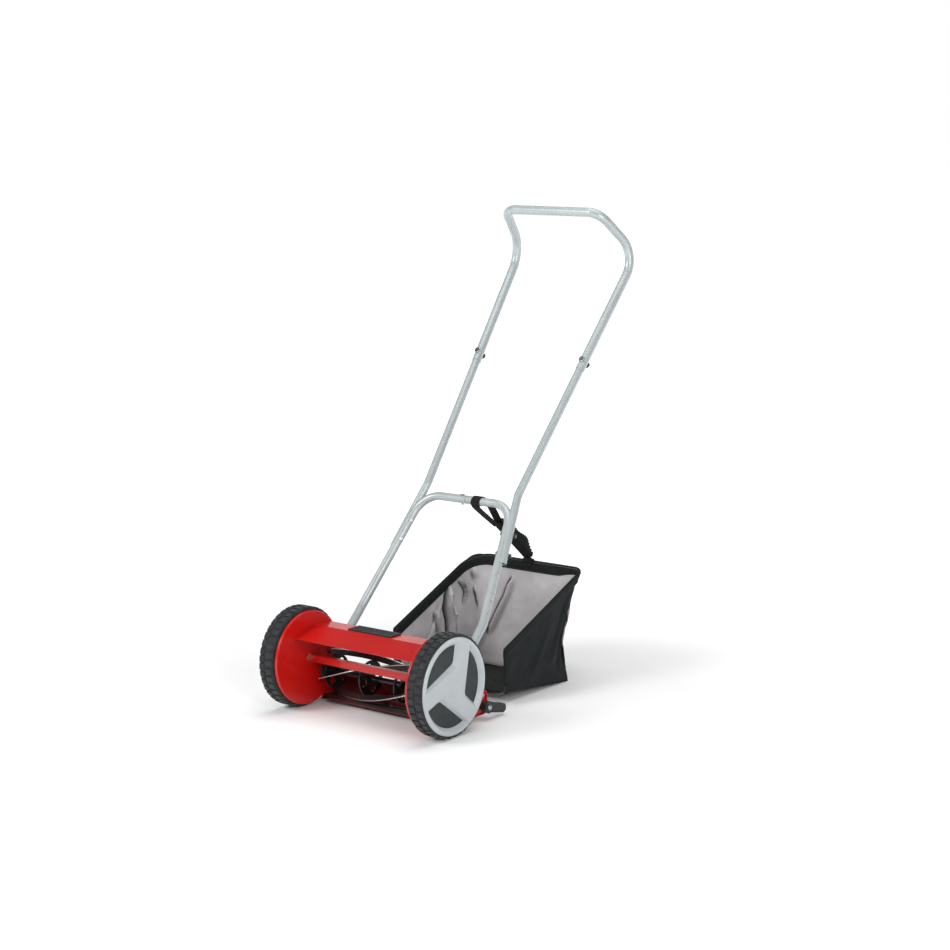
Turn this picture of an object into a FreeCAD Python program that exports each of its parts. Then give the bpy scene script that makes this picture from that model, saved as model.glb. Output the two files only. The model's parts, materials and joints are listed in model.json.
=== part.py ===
"""Push reel mower with a folding tube handle and a hung grass bag.

Frame: +Z up, -Y the way the mower is pushed, +Y towards the user, +X and -X the two wheels.
The origin is on the ground, straight under the middle of the wheel axis. Sizes are in millimetres.
Pieces named right are at +X and pieces named left are their mirror images at -X.
"""
import FreeCAD, Part
import math
import os

Vector = FreeCAD.Vector
X_AXIS = Vector(1, 0, 0)
ORIGIN = Vector(0, 0, 0)

# ---- driving dimensions ----------------------------------------------------------------------
WHEEL_R = 105.0                     # tyre radius, and so the height of the wheel axis
GEAR_MODULE = 2.0
RING_TEETH = 76                     # internal gear moulded into each wheel
PINION_TEETH = 13
REEL_R = 50.0                       # radius swept by the reel's cutting edges
REEL_AXIS_Y = 52.0
PLATE_X = 168.0                     # inner face of a side plate
PLATE_T = 2.5
PLATE_R = 98.0
HANDLE_HEIGHT = 1000.0              # centre of the top bar
TUBE_R = 9.0                        # handle tubes, 18 mm outside
TUBE_WALL = 1.0
RUN_FIT = 0.05                      # radial clearance of a shaft in its bearing

# ---- places that follow from them ------------------------------------------------------------
AXLE_Z = WHEEL_R
GEAR_OFFSET = GEAR_MODULE * (RING_TEETH - PINION_TEETH) / 2
REEL_AXIS_Z = AXLE_Z - math.sqrt(GEAR_OFFSET ** 2 - REEL_AXIS_Y ** 2)
MESH_ANGLE = math.atan2(REEL_AXIS_Z - AXLE_Z, REEL_AXIS_Y)
PLATE_OUT = PLATE_X + PLATE_T
FLANGE_X = 174.0                    # outer edge of the side plate's turned flange

TYRE_X = (177.0, 213.0)             # inner and outer side of the tyre
TYRE_SEAT_R = 95.0
LUG_COUNT = 39
LUG_BASE_R = 102.3
LUG_SHARE = 0.70                    # share of the pitch that a lug takes up

REEL_HALF = 146.0                   # half length of the cutting blades
BLADE_COUNT = 4
BLADE_DEPTH = 13.0
BLADE_T = 2.2
BLADE_TWIST = math.radians(-117)     # turn of a blade from the left end of the reel to the right
REEL_PHASE = math.radians(40)        # where the first blade stands halfway along
SPIDER_X = (-138.0, -46.0, 46.0, 138.0)
SPIDER_T = 3.0
SHAFT_R = 6.0
GEAR_X = (181.5, 191.5)

LIFT_PIVOT = (142.0, 27.0)          # y, z of the height lever's pivot
ROLLER_AXIS = (116.0, 22.5)
ROLLER_R = 22.5
ROLLER_HALF = 150.0
HANDLE_PIVOT = (80.0, 106.0)
HANDLE_BEND = (163.0, 188.0)        # where a lower handle leg starts to lean inwards
BAG_HOOK = (148.0, 48.0)
LEG_X = 160.0                       # centre plane of a leg's straight foot

CROSSBAR = (321.0, 407.0)           # y, z of the lower handle's crossbar
CROSSBAR_CORNER_X = 118.0
CROSSBAR_CORNER_R = 55.0
KNEE = Vector(121.0, 336.0, 427.0)  # bend of a middle tube
GRIP_LOW = Vector(156.0, 721.0, 906.0)
JOINT = KNEE + (GRIP_LOW - KNEE) * 0.51     # where a middle tube enters the upper handle
GRIP_TOP = Vector(125.0, 621.0, HANDLE_HEIGHT)
UPPER_R = 10.0
UPPER_BORE_R = TUBE_R + 0.1

BAG_HALF = 146.0
BAG_WALL = 3.0
BAG_FRONT_LOW = (254.0, 24.0)
BAG_BACK_LOW = (486.0, 0.3)
BAG_BACK_TOP = (531.0, 238.0)
BAG_FRONT_TOP = (253.0, 118.0)
WIRE_R = 2.5
BAG_WIRE_X = BAG_HALF + WIRE_R + 0.2


# ---- helpers ---------------------------------------------------------------------------------
def at(x, place):
    """Point at x in the side view place (y, z)."""
    return Vector(x, place[0], place[1])


def polygon_solid(points, x0, x1):
    """Prism along X with a side-view outline given as (y, z) points."""
    corners = [Vector(x0, y, z) for y, z in points]
    face = Part.Face(Part.makePolygon(corners + corners[:1]))
    return face.extrude(Vector(x1 - x0, 0, 0))


def rod(radius, x0, x1, place):
    """Round bar along X."""
    return Part.makeCylinder(radius, x1 - x0, at(x0, place), X_AXIS)


def ring(outer, inner, x0, x1, place):
    return rod(outer, x0, x1, place).cut(rod(inner, x0 - 1, x1 + 1, place))


def hexagon(flat_half, x0, x1, place):
    """Hexagon nut body along X, half its width across flats given."""
    corner_r = flat_half / math.cos(math.pi / 6)
    points = []
    for i in range(6):
        angle = i * math.pi / 3
        points.append((place[0] + corner_r * math.cos(angle), place[1] + corner_r * math.sin(angle)))
    return polygon_solid(points, x0, x1)


def turned(points, place):
    """Body of revolution about a line along X through place, from (x, radius) points."""
    corners = [Vector(x, place[0], place[1] + r) for x, r in points]
    face = Part.Face(Part.makePolygon(corners + corners[:1]))
    return face.revolve(at(0, place), X_AXIS, 360)


def about(shape, place, angle):
    """Copy of a shape turned by angle in radians about a line along X through place."""
    turned_copy = shape.copy()
    turned_copy.rotate(at(0, place), X_AXIS, math.degrees(angle))
    return turned_copy


def mirrored(shape):
    return shape.mirror(ORIGIN, X_AXIS)


def joined(shapes):
    return shapes[0].multiFuse(shapes[1:]).removeSplitter()


def group(shapes):
    """Separate solids kept in one node."""
    return Part.makeCompound(shapes)


def rounded_path(points, radii):
    """Straight runs through the points, joined by tangent arcs of the given radii."""
    edges = []
    start = points[0]
    for i in range(1, len(points) - 1):
        before = (points[i - 1] - points[i]).normalize()
        after = (points[i + 1] - points[i]).normalize()
        half = before.getAngle(after) / 2
        reach = radii[i - 1] / math.tan(half)
        first = points[i] + before * reach
        last = points[i] + after * reach
        inward = (before + after).normalize()
        centre = points[i] + inward * (radii[i - 1] / math.sin(half))
        middle = centre - inward * radii[i - 1]
        edges.append(Part.LineSegment(start, first).toShape())
        edges.append(Part.Arc(first, middle, last).toShape())
        start = last
    edges.append(Part.LineSegment(start, points[-1]).toShape())
    return edges


def swept(edges, radius):
    """Solid round bar along a smooth chain of edges."""
    first = edges[0]
    start = first.valueAt(first.FirstParameter)
    direction = first.tangentAt(first.FirstParameter)
    profile = Part.Wire(Part.makeCircle(radius, start, direction))
    return Part.Wire(edges).makePipeShell([profile], True, False)


def tube(points, radii, outer, inner):
    edges = rounded_path(points, radii)
    return swept(edges, outer).cut(swept(edges, inner))


def bolt_across(start, direction, length, shank_r, head_r, head_h):
    """Dome-headed bolt: the head sits at start and the shank runs along direction."""
    shank = Part.makeCylinder(shank_r, length, start, direction)
    head = Part.makeCylinder(head_r, head_h, start - direction * head_h, direction)
    return joined([shank, head])


# ---- gears -----------------------------------------------------------------------------------
def involute_radius_points(base_r, r_start, r_end, steps):
    """(radius, involute angle) pairs along a flank."""
    points = []
    for i in range(steps + 1):
        r = r_start + (r_end - r_start) * i / steps
        pressure = math.acos(min(1.0, base_r / r))
        points.append((r, math.tan(pressure) - pressure))
    return points


def gear_outline(teeth, tip_r, root_r, half_width, first_tooth):
    """Closed (y, z) outline about (0, 0) of an involute tooth ring.

    half_width is the angle of half a tooth at the pitch circle, and first_tooth the angle of a tooth.
    """
    pitch_r = GEAR_MODULE * teeth / 2
    base_r = pitch_r * math.cos(math.radians(20))
    pitch_pressure = math.radians(20)
    pitch_involute = math.tan(pitch_pressure) - pitch_pressure
    low = max(min(root_r, tip_r), base_r)
    flank = involute_radius_points(base_r, low, max(root_r, tip_r), 4)
    if min(root_r, tip_r) < base_r:
        flank.insert(0, (min(root_r, tip_r), flank[0][1]))
    points = []
    for tooth in range(teeth):
        middle = first_tooth + 2 * math.pi * tooth / teeth
        rising = []
        for r, involute in flank:
            rising.append((r, middle - half_width - pitch_involute + involute))
        falling = [(r, 2 * middle - angle) for r, angle in reversed(rising)]
        points += rising + falling
    return [(r * math.cos(angle), r * math.sin(angle)) for r, angle in points]


def shifted(points, place):
    return [(y + place[0], z + place[1]) for y, z in points]


TOOTH_PLAY = 0.30                   # taken off each tooth's thickness at the pitch circle


def pinion_solid():
    """Steel pinion with a tooth pointing at the mesh, open bore for the reel shaft."""
    pitch_r = GEAR_MODULE * PINION_TEETH / 2
    half = math.pi / (2 * PINION_TEETH) - TOOTH_PLAY / 2 / pitch_r
    outline = gear_outline(PINION_TEETH, pitch_r + 1.7, pitch_r - 2.4, half, MESH_ANGLE)
    body = polygon_solid(shifted(outline, (REEL_AXIS_Y, REEL_AXIS_Z)), GEAR_X[0], GEAR_X[1])
    return body


def ring_gear_cutter():
    """Inside of the wheel's ring gear: the spaces between its teeth, with one at the mesh."""
    pitch_r = GEAR_MODULE * RING_TEETH / 2
    half = math.pi / (2 * RING_TEETH) + TOOTH_PLAY / 2 / pitch_r
    outline = gear_outline(RING_TEETH, pitch_r + 2.5, pitch_r - 1.4, half, MESH_ANGLE)
    return polygon_solid(shifted(outline, (0, AXLE_Z)), GEAR_X[0] - 2, GEAR_X[1] + 1.5)


# ---- wheels ----------------------------------------------------------------------------------
WHEEL_PLACE = (0.0, AXLE_Z)
AXLE_R = 7.0
BUSH_R = 9.5
HUB_R = 19.0
CAP_R = 98.5
CAP_RING_R = 83.0                   # outer edge of the dark panels set into the cap
CAP_X = (204.0, 216.5)
CAP_DRAFT = 7.0                     # depth of the slopes from the cap's face down to the panels
PANEL_X = CAP_X[1] - CAP_DRAFT
HUB_END_X = 208.0


def tyre():
    """Tyre band with two staggered rows of shoulder lugs."""
    x0, x1 = TYRE_X
    carcass = [
        (x0, TYRE_SEAT_R), (x0, LUG_BASE_R - 2), (x0 + 2, LUG_BASE_R),
        (x1 - 2, LUG_BASE_R), (x1, LUG_BASE_R - 2), (x1, TYRE_SEAT_R)]
    band = turned(carcass, WHEEL_PLACE)
    middle = (x0 + x1) / 2
    rows = [(x0 + 0.4, middle + 1.5, 0.0), (middle + 3.0, x1 - 0.4, 0.5)]
    lugs = []
    for low_x, high_x, stagger in rows:
        corners = [
            Vector(low_x, 0, AXLE_Z - LUG_BASE_R + 1),
            Vector(low_x, 0, AXLE_Z - WHEEL_R + 2.5),
            Vector(low_x + 2.5, 0, AXLE_Z - WHEEL_R),
            Vector(high_x - 2.5, 0, AXLE_Z - WHEEL_R),
            Vector(high_x, 0, AXLE_Z - WHEEL_R + 2.5),
            Vector(high_x, 0, AXLE_Z - LUG_BASE_R + 1)]
        face = Part.Face(Part.makePolygon(corners + corners[:1]))
        pitch = 2 * math.pi / LUG_COUNT
        lug = face.revolve(at(0, WHEEL_PLACE), X_AXIS, math.degrees(pitch * LUG_SHARE))
        lug = about(lug, WHEEL_PLACE, -pitch * LUG_SHARE / 2)
        for i in range(LUG_COUNT):
            lugs.append(about(lug, WHEEL_PLACE, (i + stagger) * pitch))
    cap_seat = rod(CAP_R + 0.1, CAP_X[0] - 0.1, CAP_X[1] + 1, WHEEL_PLACE)
    return joined([band] + lugs).cut(cap_seat)


def wheel_rim():
    """Moulded wheel: tyre seat, web, hub and ring gear in one piece."""
    seat = ring(TYRE_SEAT_R, TYRE_SEAT_R - 4, TYRE_X[0] + 0.5, CAP_X[0], WHEEL_PLACE)
    gear_band = rod(TYRE_SEAT_R - 2, GEAR_X[0] - 0.5, GEAR_X[1] + 1, WHEEL_PLACE)
    web = rod(TYRE_SEAT_R - 2, GEAR_X[1] + 1, GEAR_X[1] + 4, WHEEL_PLACE)
    hub = rod(HUB_R, GEAR_X[1] + 1, HUB_END_X, WHEEL_PLACE)
    body = joined([seat, gear_band.cut(ring_gear_cutter()), web, hub])
    return body.cut(rod(BUSH_R, 150, 230, WHEEL_PLACE))


def wheel_bush():
    """Plain bush pressed into the hub."""
    return ring(BUSH_R, AXLE_R + RUN_FIT, GEAR_X[1] + 1, HUB_END_X, WHEEL_PLACE)


def swirl_face(turn, inset, x):
    """Outline of one opening between the cap's arms at x: ring arc, long edge, corner, short edge.

    A negative inset makes it larger than the panel all round.
    """
    outer = CAP_RING_R - inset
    short_end = turn + inset / outer
    long_end = turn + WINDOW_SPAN - inset / outer
    corner_r = WINDOW_CORNER_R + inset
    corner_angle = turn + math.radians(4) + inset / corner_r
    ends = []
    for r, angle in ((outer, long_end), (outer, (long_end + short_end) / 2), (outer, short_end),
                     (corner_r, corner_angle)):
        ends.append(Vector(x, r * math.cos(angle), AXLE_Z + r * math.sin(angle)))
    arc = Part.Arc(ends[0], ends[1], ends[2]).toShape()
    short_edge = Part.LineSegment(ends[2], ends[3]).toShape()
    long_edge = Part.LineSegment(ends[3], ends[0]).toShape()
    slab = Part.Face(Part.Wire([arc, short_edge, long_edge])).extrude(Vector(1, 0, 0))
    corner = [edge for edge in slab.Edges if (edge.CenterOfMass - ends[3] - Vector(0.5, 0, 0)).Length < 0.1]
    slab = slab.makeFillet(WINDOW_ROUND - inset, corner)
    return [face for face in slab.Faces if face.BoundBox.XMax < x + 0.1][0]


def swirl_window(turn):
    """Cutter for one opening: straight at the panel, then sloping out to the cap's face."""
    over = 0.5
    panel = swirl_face(turn, 0, PANEL_X)
    mouth = swirl_face(turn, -CAP_DRAFT - over, CAP_X[1] + over)
    slopes = Part.makeLoft([panel.OuterWire, mouth.OuterWire], True, True)
    return joined([slopes, panel.extrude(Vector(CAP_X[0] - 1 - PANEL_X, 0, 0))])


WINDOW_SPAN = math.radians(89)
WINDOW_CORNER_R = 46.0
WINDOW_ROUND = 12.0
WINDOW_TURNS = [math.radians(a) for a in (84, 204, 324)]


def hub_cap():
    """Clip-on cap: outer ring and three swirled arms round a plain centre, hollow over the hub."""
    face_edge = 2.0
    disc = turned([
        (CAP_X[0], 0), (CAP_X[0], CAP_R), (CAP_X[1] - face_edge, CAP_R),
        (CAP_X[1], CAP_R - face_edge), (CAP_X[1], 0)], WHEEL_PLACE)
    for turn in WINDOW_TURNS:
        disc = disc.cut(swirl_window(turn))
    return disc.cut(rod(HUB_R + 1, CAP_X[0] - 1, HUB_END_X + 2.2, WHEEL_PLACE))


def hub_inserts():
    """Three dark panels set into the cap's openings, at the foot of the slopes."""
    panels = []
    for turn in WINDOW_TURNS:
        outline = swirl_face(turn, 0.15, CAP_X[0])
        panels.append(outline.extrude(Vector(PANEL_X - CAP_X[0], 0, 0)))
    return group(panels)


def wheel_axle():
    """Stub axle riveted flush in the side plate, with a collar and a grooved end."""
    shank = rod(AXLE_R, PLATE_X, HUB_END_X + 1.5, WHEEL_PLACE)
    collar = rod(12, PLATE_OUT, GEAR_X[1] + 0.6, WHEEL_PLACE)
    groove = ring(AXLE_R + 1, AXLE_R - 1, HUB_END_X + 0.1, HUB_END_X + 0.7, WHEEL_PLACE)
    return joined([shank, collar]).cut(groove)


def axle_clip():
    """Snap ring that keeps the wheel on its axle."""
    return ring(10, AXLE_R - 1, HUB_END_X + 0.2, HUB_END_X + 0.6, WHEEL_PLACE)


# ---- reel ------------------------------------------------------------------------------------
REEL_PLACE = (REEL_AXIS_Y, REEL_AXIS_Z)
BLADE_INNER_R = REEL_R - BLADE_DEPTH


def blade_angle(x):
    """Angle at x of the first blade, which leads from the left end of the reel to the right."""
    return REEL_PHASE + BLADE_TWIST * x / (2 * REEL_HALF)


def reel_blade(index):
    """Helical blade lofted through radial sections."""
    sections = []
    count = 13
    start = 2 * math.pi * index / BLADE_COUNT
    for i in range(count):
        x = -REEL_HALF + 2 * REEL_HALF * i / (count - 1)
        angle = start + blade_angle(x)
        corners = []
        for r, side in ((BLADE_INNER_R, -1), (REEL_R - 0.1, -1), (REEL_R - 0.1, 1), (BLADE_INNER_R, 1)):
            across = side * BLADE_T / 2
            corners.append(Vector(
                x,
                REEL_AXIS_Y + r * math.cos(angle) - across * math.sin(angle),
                REEL_AXIS_Z + r * math.sin(angle) + across * math.cos(angle)))
        sections.append(Part.makePolygon(corners + corners[:1]))
    return Part.makeLoft(sections, True, False)


def reel_spiders():
    """Discs that carry the blades, each with windows between them, turned to follow the helix."""
    discs = []
    for x in SPIDER_X:
        disc = rod(BLADE_INNER_R - 0.02, x - SPIDER_T / 2, x + SPIDER_T / 2, REEL_PLACE)
        disc = disc.cut(rod(SHAFT_R, x - 5, x + 5, REEL_PLACE))
        for i in range(BLADE_COUNT):
            angle = 2 * math.pi * (i + 0.5) / BLADE_COUNT + blade_angle(x)
            window = (REEL_AXIS_Y + 23 * math.cos(angle), REEL_AXIS_Z + 23 * math.sin(angle))
            disc = disc.cut(rod(8.5, x - 5, x + 5, window))
        discs.append(disc)
    return group(discs)


def reel_shaft():
    """Plain steel shaft from pinion to pinion."""
    return rod(SHAFT_R, -GEAR_X[1] + 0.5, GEAR_X[1] - 0.5, REEL_PLACE)


def drive_pinion():
    """Right pinion, keyed to the shaft."""
    return pinion_solid().cut(rod(SHAFT_R, 100, 250, REEL_PLACE))


def free_pinion():
    """Left pinion, running on the shaft."""
    return pinion_solid().cut(rod(SHAFT_R + RUN_FIT, 100, 250, REEL_PLACE))


BEARING_R = 13.0


def reel_bearing():
    """Flanged bearing bush pressed through the side plate."""
    flange = rod(BEARING_R + 5, PLATE_X - 5, PLATE_X, REEL_PLACE)
    sleeve = rod(BEARING_R, PLATE_X - 5, PLATE_OUT + 7.5, REEL_PLACE)
    return joined([flange, sleeve]).cut(rod(SHAFT_R + RUN_FIT, 100, 250, REEL_PLACE))


# ---- deck ------------------------------------------------------------------------------------
LOBE = (40.0, 160.0, 8.0, 60.0)     # y low, y high, z low, z high of the plate's rear lobe
LOBE_R = 15.0


def plate_outline(inset):
    """Side-view face of the plate: a disc with a rounded lobe behind it."""
    disc = Part.Face(Part.Wire(Part.makeCircle(PLATE_R - inset, at(0, WHEEL_PLACE), X_AXIS)))
    y0, y1, z0, z1 = LOBE[0], LOBE[1] - inset, LOBE[2] + inset, LOBE[3] - inset
    corners = [Vector(0, y0, z0), Vector(0, y1, z0), Vector(0, y1, z1), Vector(0, y0, z1)]
    edges = rounded_path(corners, [LOBE_R - inset, LOBE_R - inset])
    edges.append(Part.LineSegment(corners[3], corners[0]).toShape())
    lobe = Part.Face(Part.Wire(edges))
    return disc.fuse(lobe).removeSplitter()


def side_plate():
    """Pressed pan with its flange turned outwards."""
    solid = plate_outline(0).extrude(Vector(FLANGE_X - PLATE_X, 0, 0))
    solid.translate(Vector(PLATE_X, 0, 0))
    hollow = plate_outline(PLATE_T).extrude(Vector(20, 0, 0))
    hollow.translate(Vector(PLATE_OUT, 0, 0))
    pan = solid.cut(hollow)
    rim = [edge for edge in pan.Edges
           if edge.BoundBox.XMax < PLATE_X + 0.01 and edge.Length > 20]
    pan = pan.makeFillet(2.0, rim)
    holes = [(AXLE_R, WHEEL_PLACE), (BEARING_R, REEL_PLACE), (BOLT_R, HANDLE_PIVOT),
             (STOP_R, STOP_PIN), (LEVER_HUB_R + RUN_FIT, LIFT_PIVOT), (HOOK_R, BAG_HOOK)]
    for radius, place in holes:
        pan = pan.cut(rod(radius, 150, 200, place))
    for i in range(4):
        angle = NOTCH_FROM + i * LIFT_SWING / 3
        notch = (LIFT_PIVOT[0] + NOTCH_R * math.cos(angle), LIFT_PIVOT[1] + NOTCH_R * math.sin(angle))
        pan = pan.cut(rod(2.5, 150, 200, notch))
    return pan


COVER_T = 1.5
COVER_LINE = [(-45.0, 154.0), (23.5, 170.0), (68.0, 170.0), (70.5, 158.0)]


def thick_polyline(points, thickness):
    """Closed outline of a sheet that follows the points, thickened below them."""
    lower = []
    for i, (y, z) in enumerate(points):
        normals = []
        if i > 0:
            normals.append(left_normal(points[i - 1], points[i]))
        if i < len(points) - 1:
            normals.append(left_normal(points[i], points[i + 1]))
        ny = sum(n[0] for n in normals) / len(normals)
        nz = sum(n[1] for n in normals) / len(normals)
        scale = thickness / (ny * ny + nz * nz)
        lower.append((y - ny * scale, z - nz * scale))
    return points + lower[::-1]


def left_normal(a, b):
    length = math.hypot(b[0] - a[0], b[1] - a[1])
    return (-(b[1] - a[1]) / length, (b[0] - a[0]) / length)


def cover():
    """Bent top cover between the side plates."""
    sheet = polygon_solid(thick_polyline(COVER_LINE, COVER_T), -PLATE_X, PLATE_X)
    bends = []
    for edge in sheet.Edges:
        middle = edge.CenterOfMass
        if edge.Length < 2 * PLATE_X - 1:
            continue
        for y, z in COVER_LINE[1:3]:
            if abs(middle.y - y) < 3 and abs(middle.z - z) < 3:
                bends.append((edge, middle.z))
    outer = [edge for edge, z in bends if z > COVER_LINE[1][1] - 0.1]
    return sheet.makeFillet(5.0, outer)


INSERT_X = (-84.0, 28.0)
INSERT_Y = (27.0, 63.0)
INSERT_T = 3.0
INSERT_BORDER = 6.0
GROOVE_COUNT = 6
GROOVE_DEPTH = 0.8


def cover_insert():
    """Plastic pad on the cover, its flat top grooved lengthwise inside a plain border."""
    top = COVER_LINE[1][1] + INSERT_T
    pad = Part.makeBox(INSERT_X[1] - INSERT_X[0], INSERT_Y[1] - INSERT_Y[0], INSERT_T,
                       Vector(INSERT_X[0], INSERT_Y[0], top - INSERT_T))
    length = INSERT_X[1] - INSERT_X[0] - 2 * INSERT_BORDER
    step = (INSERT_Y[1] - INSERT_Y[0] - 2 * INSERT_BORDER) / GROOVE_COUNT
    for i in range(GROOVE_COUNT):
        y = INSERT_Y[0] + INSERT_BORDER + (i + 0.25) * step
        corner = Vector(INSERT_X[0] + INSERT_BORDER, y, top - GROOVE_DEPTH)
        pad = pad.cut(Part.makeBox(length, step / 2, 2, corner))
    return pad


TAB_HEIGHT = 20.0


def cover_tabs():
    """Folded end tabs that the cover is screwed to the plates with."""
    underside = COVER_LINE[1][1] - COVER_T
    tabs = []
    for side in (1, -1):
        tab = Part.makeBox(PLATE_T, 38, TAB_HEIGHT,
                           Vector(PLATE_X - PLATE_T, 27, underside - TAB_HEIGHT))
        tabs.append(tab if side > 0 else mirrored(tab))
    return group(tabs)


def flat_screws(places, head_r, head_h, shank_r, length, direction):
    """Group of equal screws, each with its head on a surface at a place."""
    screws = []
    for place in places:
        head = Part.makeCylinder(head_r, head_h, place - direction * head_h, direction)
        shank = Part.makeCylinder(shank_r, length, place, direction)
        screws.append(joined([head, shank]))
    return group(screws)


TIE_Y = (4.0, 15.0)
TIE_Z = (95.0, 110.0)
TIE_T = 2.5


def tie_bar():
    """Angle that ties the two plates together in front of the reel."""
    outline = [(TIE_Y[0], TIE_Z[0]), (TIE_Y[0] + TIE_T, TIE_Z[0]),
               (TIE_Y[0] + TIE_T, TIE_Z[1] - TIE_T), (TIE_Y[1], TIE_Z[1] - TIE_T),
               (TIE_Y[1], TIE_Z[1]), (TIE_Y[0], TIE_Z[1])]
    return polygon_solid(outline, -PLATE_X, PLATE_X)


KNIFE_TOP = 19.0
APRON_R = REEL_R + 3.0
APRON_T = 2.0


def bedknife_carrier():
    """Sole bar under the reel with an apron that curves up behind it."""
    bar = polygon_solid([(40, 8), (84, 8), (84, 12.5), (40, 12.5)], -PLATE_X, PLATE_X)
    shell = ring(APRON_R + APRON_T, APRON_R, -PLATE_X, PLATE_X, REEL_PLACE)
    low = math.radians(-62)
    high = math.radians(-22)
    far = 90
    wedge = polygon_solid([
        REEL_PLACE,
        (REEL_AXIS_Y + far * math.cos(low), REEL_AXIS_Z + far * math.sin(low)),
        (REEL_AXIS_Y + far * math.cos((low + high) / 2) * 1.1,
         REEL_AXIS_Z + far * math.sin((low + high) / 2) * 1.1),
        (REEL_AXIS_Y + far * math.cos(high), REEL_AXIS_Z + far * math.sin(high))],
        -PLATE_X, PLATE_X)
    apron = shell.common(wedge)
    foot_y = REEL_AXIS_Y + (APRON_R + 1) * math.cos(low)
    foot_z = REEL_AXIS_Z + (APRON_R + 1) * math.sin(low)
    foot = polygon_solid([(foot_y - 3, 10), (foot_y + 2, 10), (foot_y + 2, foot_z + 1),
                          (foot_y - 0.5, foot_z + 1)], -PLATE_X, PLATE_X)
    return joined([bar, foot, apron])


def bedknife_blade():
    """Steel strip with a raised lip that the reel cuts against."""
    outline = [(42, 12.5), (68, 12.5), (68, 15.5), (52, 15.5), (51, KNIFE_TOP), (44, KNIFE_TOP), (42, 15.5)]
    return polygon_solid(outline, -PLATE_X + 1, PLATE_X - 1)


def bedknife_screws():
    places = [Vector(x, 60, 15.5) for x in (-140, -70, 0, 70, 140)]
    return flat_screws(places, 4.0, 1.2, 2.5, 3.0, Vector(0, 0, -1))


def frame_bolts():
    """Heads of the bolts through the plates into the cover's tabs and the bedknife carrier."""
    bolts = []
    for place in ((44.0, 153.0), (62.0, 22.0)):
        head = hexagon(4.0, PLATE_OUT, PLATE_OUT + 3, place)
        bolts.append(head)
        bolts.append(mirrored(head))
    return group(bolts)


# ---- height adjuster and roller --------------------------------------------------------------
LEVER_HUB_R = 7.0
LIFT_SWING = math.radians(50)
NOTCH_R = 14.0
NOTCH_FROM = math.radians(140)
ARM_X = (157.0, 163.0)
LEVER_X = (180.0, 193.0)
LEVER_TIP = (189.0, 15.5)
LEVER_TIP_R = 9.5
LEVER_HEAD_R = 12.5


def link_plate(place_a, radius_a, place_b, radius_b, x0, x1):
    """Flat link with two round ends."""
    dy = place_b[0] - place_a[0]
    dz = place_b[1] - place_a[1]
    length = math.hypot(dy, dz)
    lean = math.asin((radius_a - radius_b) / length)
    heading = math.atan2(dz, dy)
    points = []
    for place, radius, side in ((place_a, radius_a, 1), (place_b, radius_b, 1),
                                (place_b, radius_b, -1), (place_a, radius_a, -1)):
        angle = heading + side * (math.pi / 2 - lean)
        points.append((place[0] + radius * math.cos(angle), place[1] + radius * math.sin(angle)))
    web = polygon_solid(points, x0, x1)
    return joined([web, rod(radius_a, x0, x1, place_a), rod(radius_b, x0, x1, place_b)])


def height_lever():
    """Outer hand lever with the hub that passes through the plate."""
    head = rod(LEVER_HEAD_R, LEVER_X[0], LEVER_X[1], LIFT_PIVOT)
    grip = link_plate(LIFT_PIVOT, LEVER_HEAD_R - 2, LEVER_TIP, LEVER_TIP_R, LEVER_X[0] + 2, LEVER_X[1] - 0.5)
    hub = rod(LEVER_HUB_R, ARM_X[1], LEVER_X[1], LIFT_PIVOT)
    body = joined([head, grip, hub])
    return body.cut(rod(LIFT_SCREW_R, 100, 250, LIFT_PIVOT))


LIFT_SCREW_R = 3.0


def roller_arm():
    """Inner arm from the lever's hub to the end of the roller axle."""
    arm = link_plate(LIFT_PIVOT, 9, ROLLER_AXIS, 9, ARM_X[0], ARM_X[1])
    arm = arm.cut(rod(LIFT_SCREW_R, 100, 250, LIFT_PIVOT))
    return arm.cut(rod(ROLLER_AXLE_R, 100, 250, ROLLER_AXIS))


def lift_screw():
    """Silver screw that clamps lever and arm together."""
    shank = rod(LIFT_SCREW_R, ARM_X[0] - 3, LEVER_X[1], LIFT_PIVOT)
    head = turned([(LEVER_X[1], 0), (LEVER_X[1], 6), (LEVER_X[1] + 1.5, 6), (LEVER_X[1] + 3.5, 3.5),
                   (LEVER_X[1] + 3.5, 0)], LIFT_PIVOT)
    return joined([shank, head])


ROLLER_AXLE_R = 5.0


def roller_axle():
    return rod(ROLLER_AXLE_R, -ARM_X[1] - 1, ARM_X[1] + 1, ROLLER_AXIS)


def roller_tube():
    """Hollow roller body."""
    return ring(ROLLER_R, ROLLER_R - 3, -ROLLER_HALF, ROLLER_HALF, ROLLER_AXIS)


def roller_caps():
    """End caps with the roller's plain bearings."""
    cap = ring(ROLLER_R - 3, ROLLER_AXLE_R + RUN_FIT, ROLLER_HALF - 10, ROLLER_HALF, ROLLER_AXIS)
    return group([cap, mirrored(cap)])


# ---- handle ----------------------------------------------------------------------------------
BOLT_R = 4.0
STOP_R = 3.5
STOP_PIN = (62.2, 107.9)
FOOT_X = (155.0, 161.0)
FOOT_FLAT = 46.0                    # length of the flattened foot above its pivot
CROSS_SPLIT_X = 2.0                 # half gap between the two lower tubes' swaged ends


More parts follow.
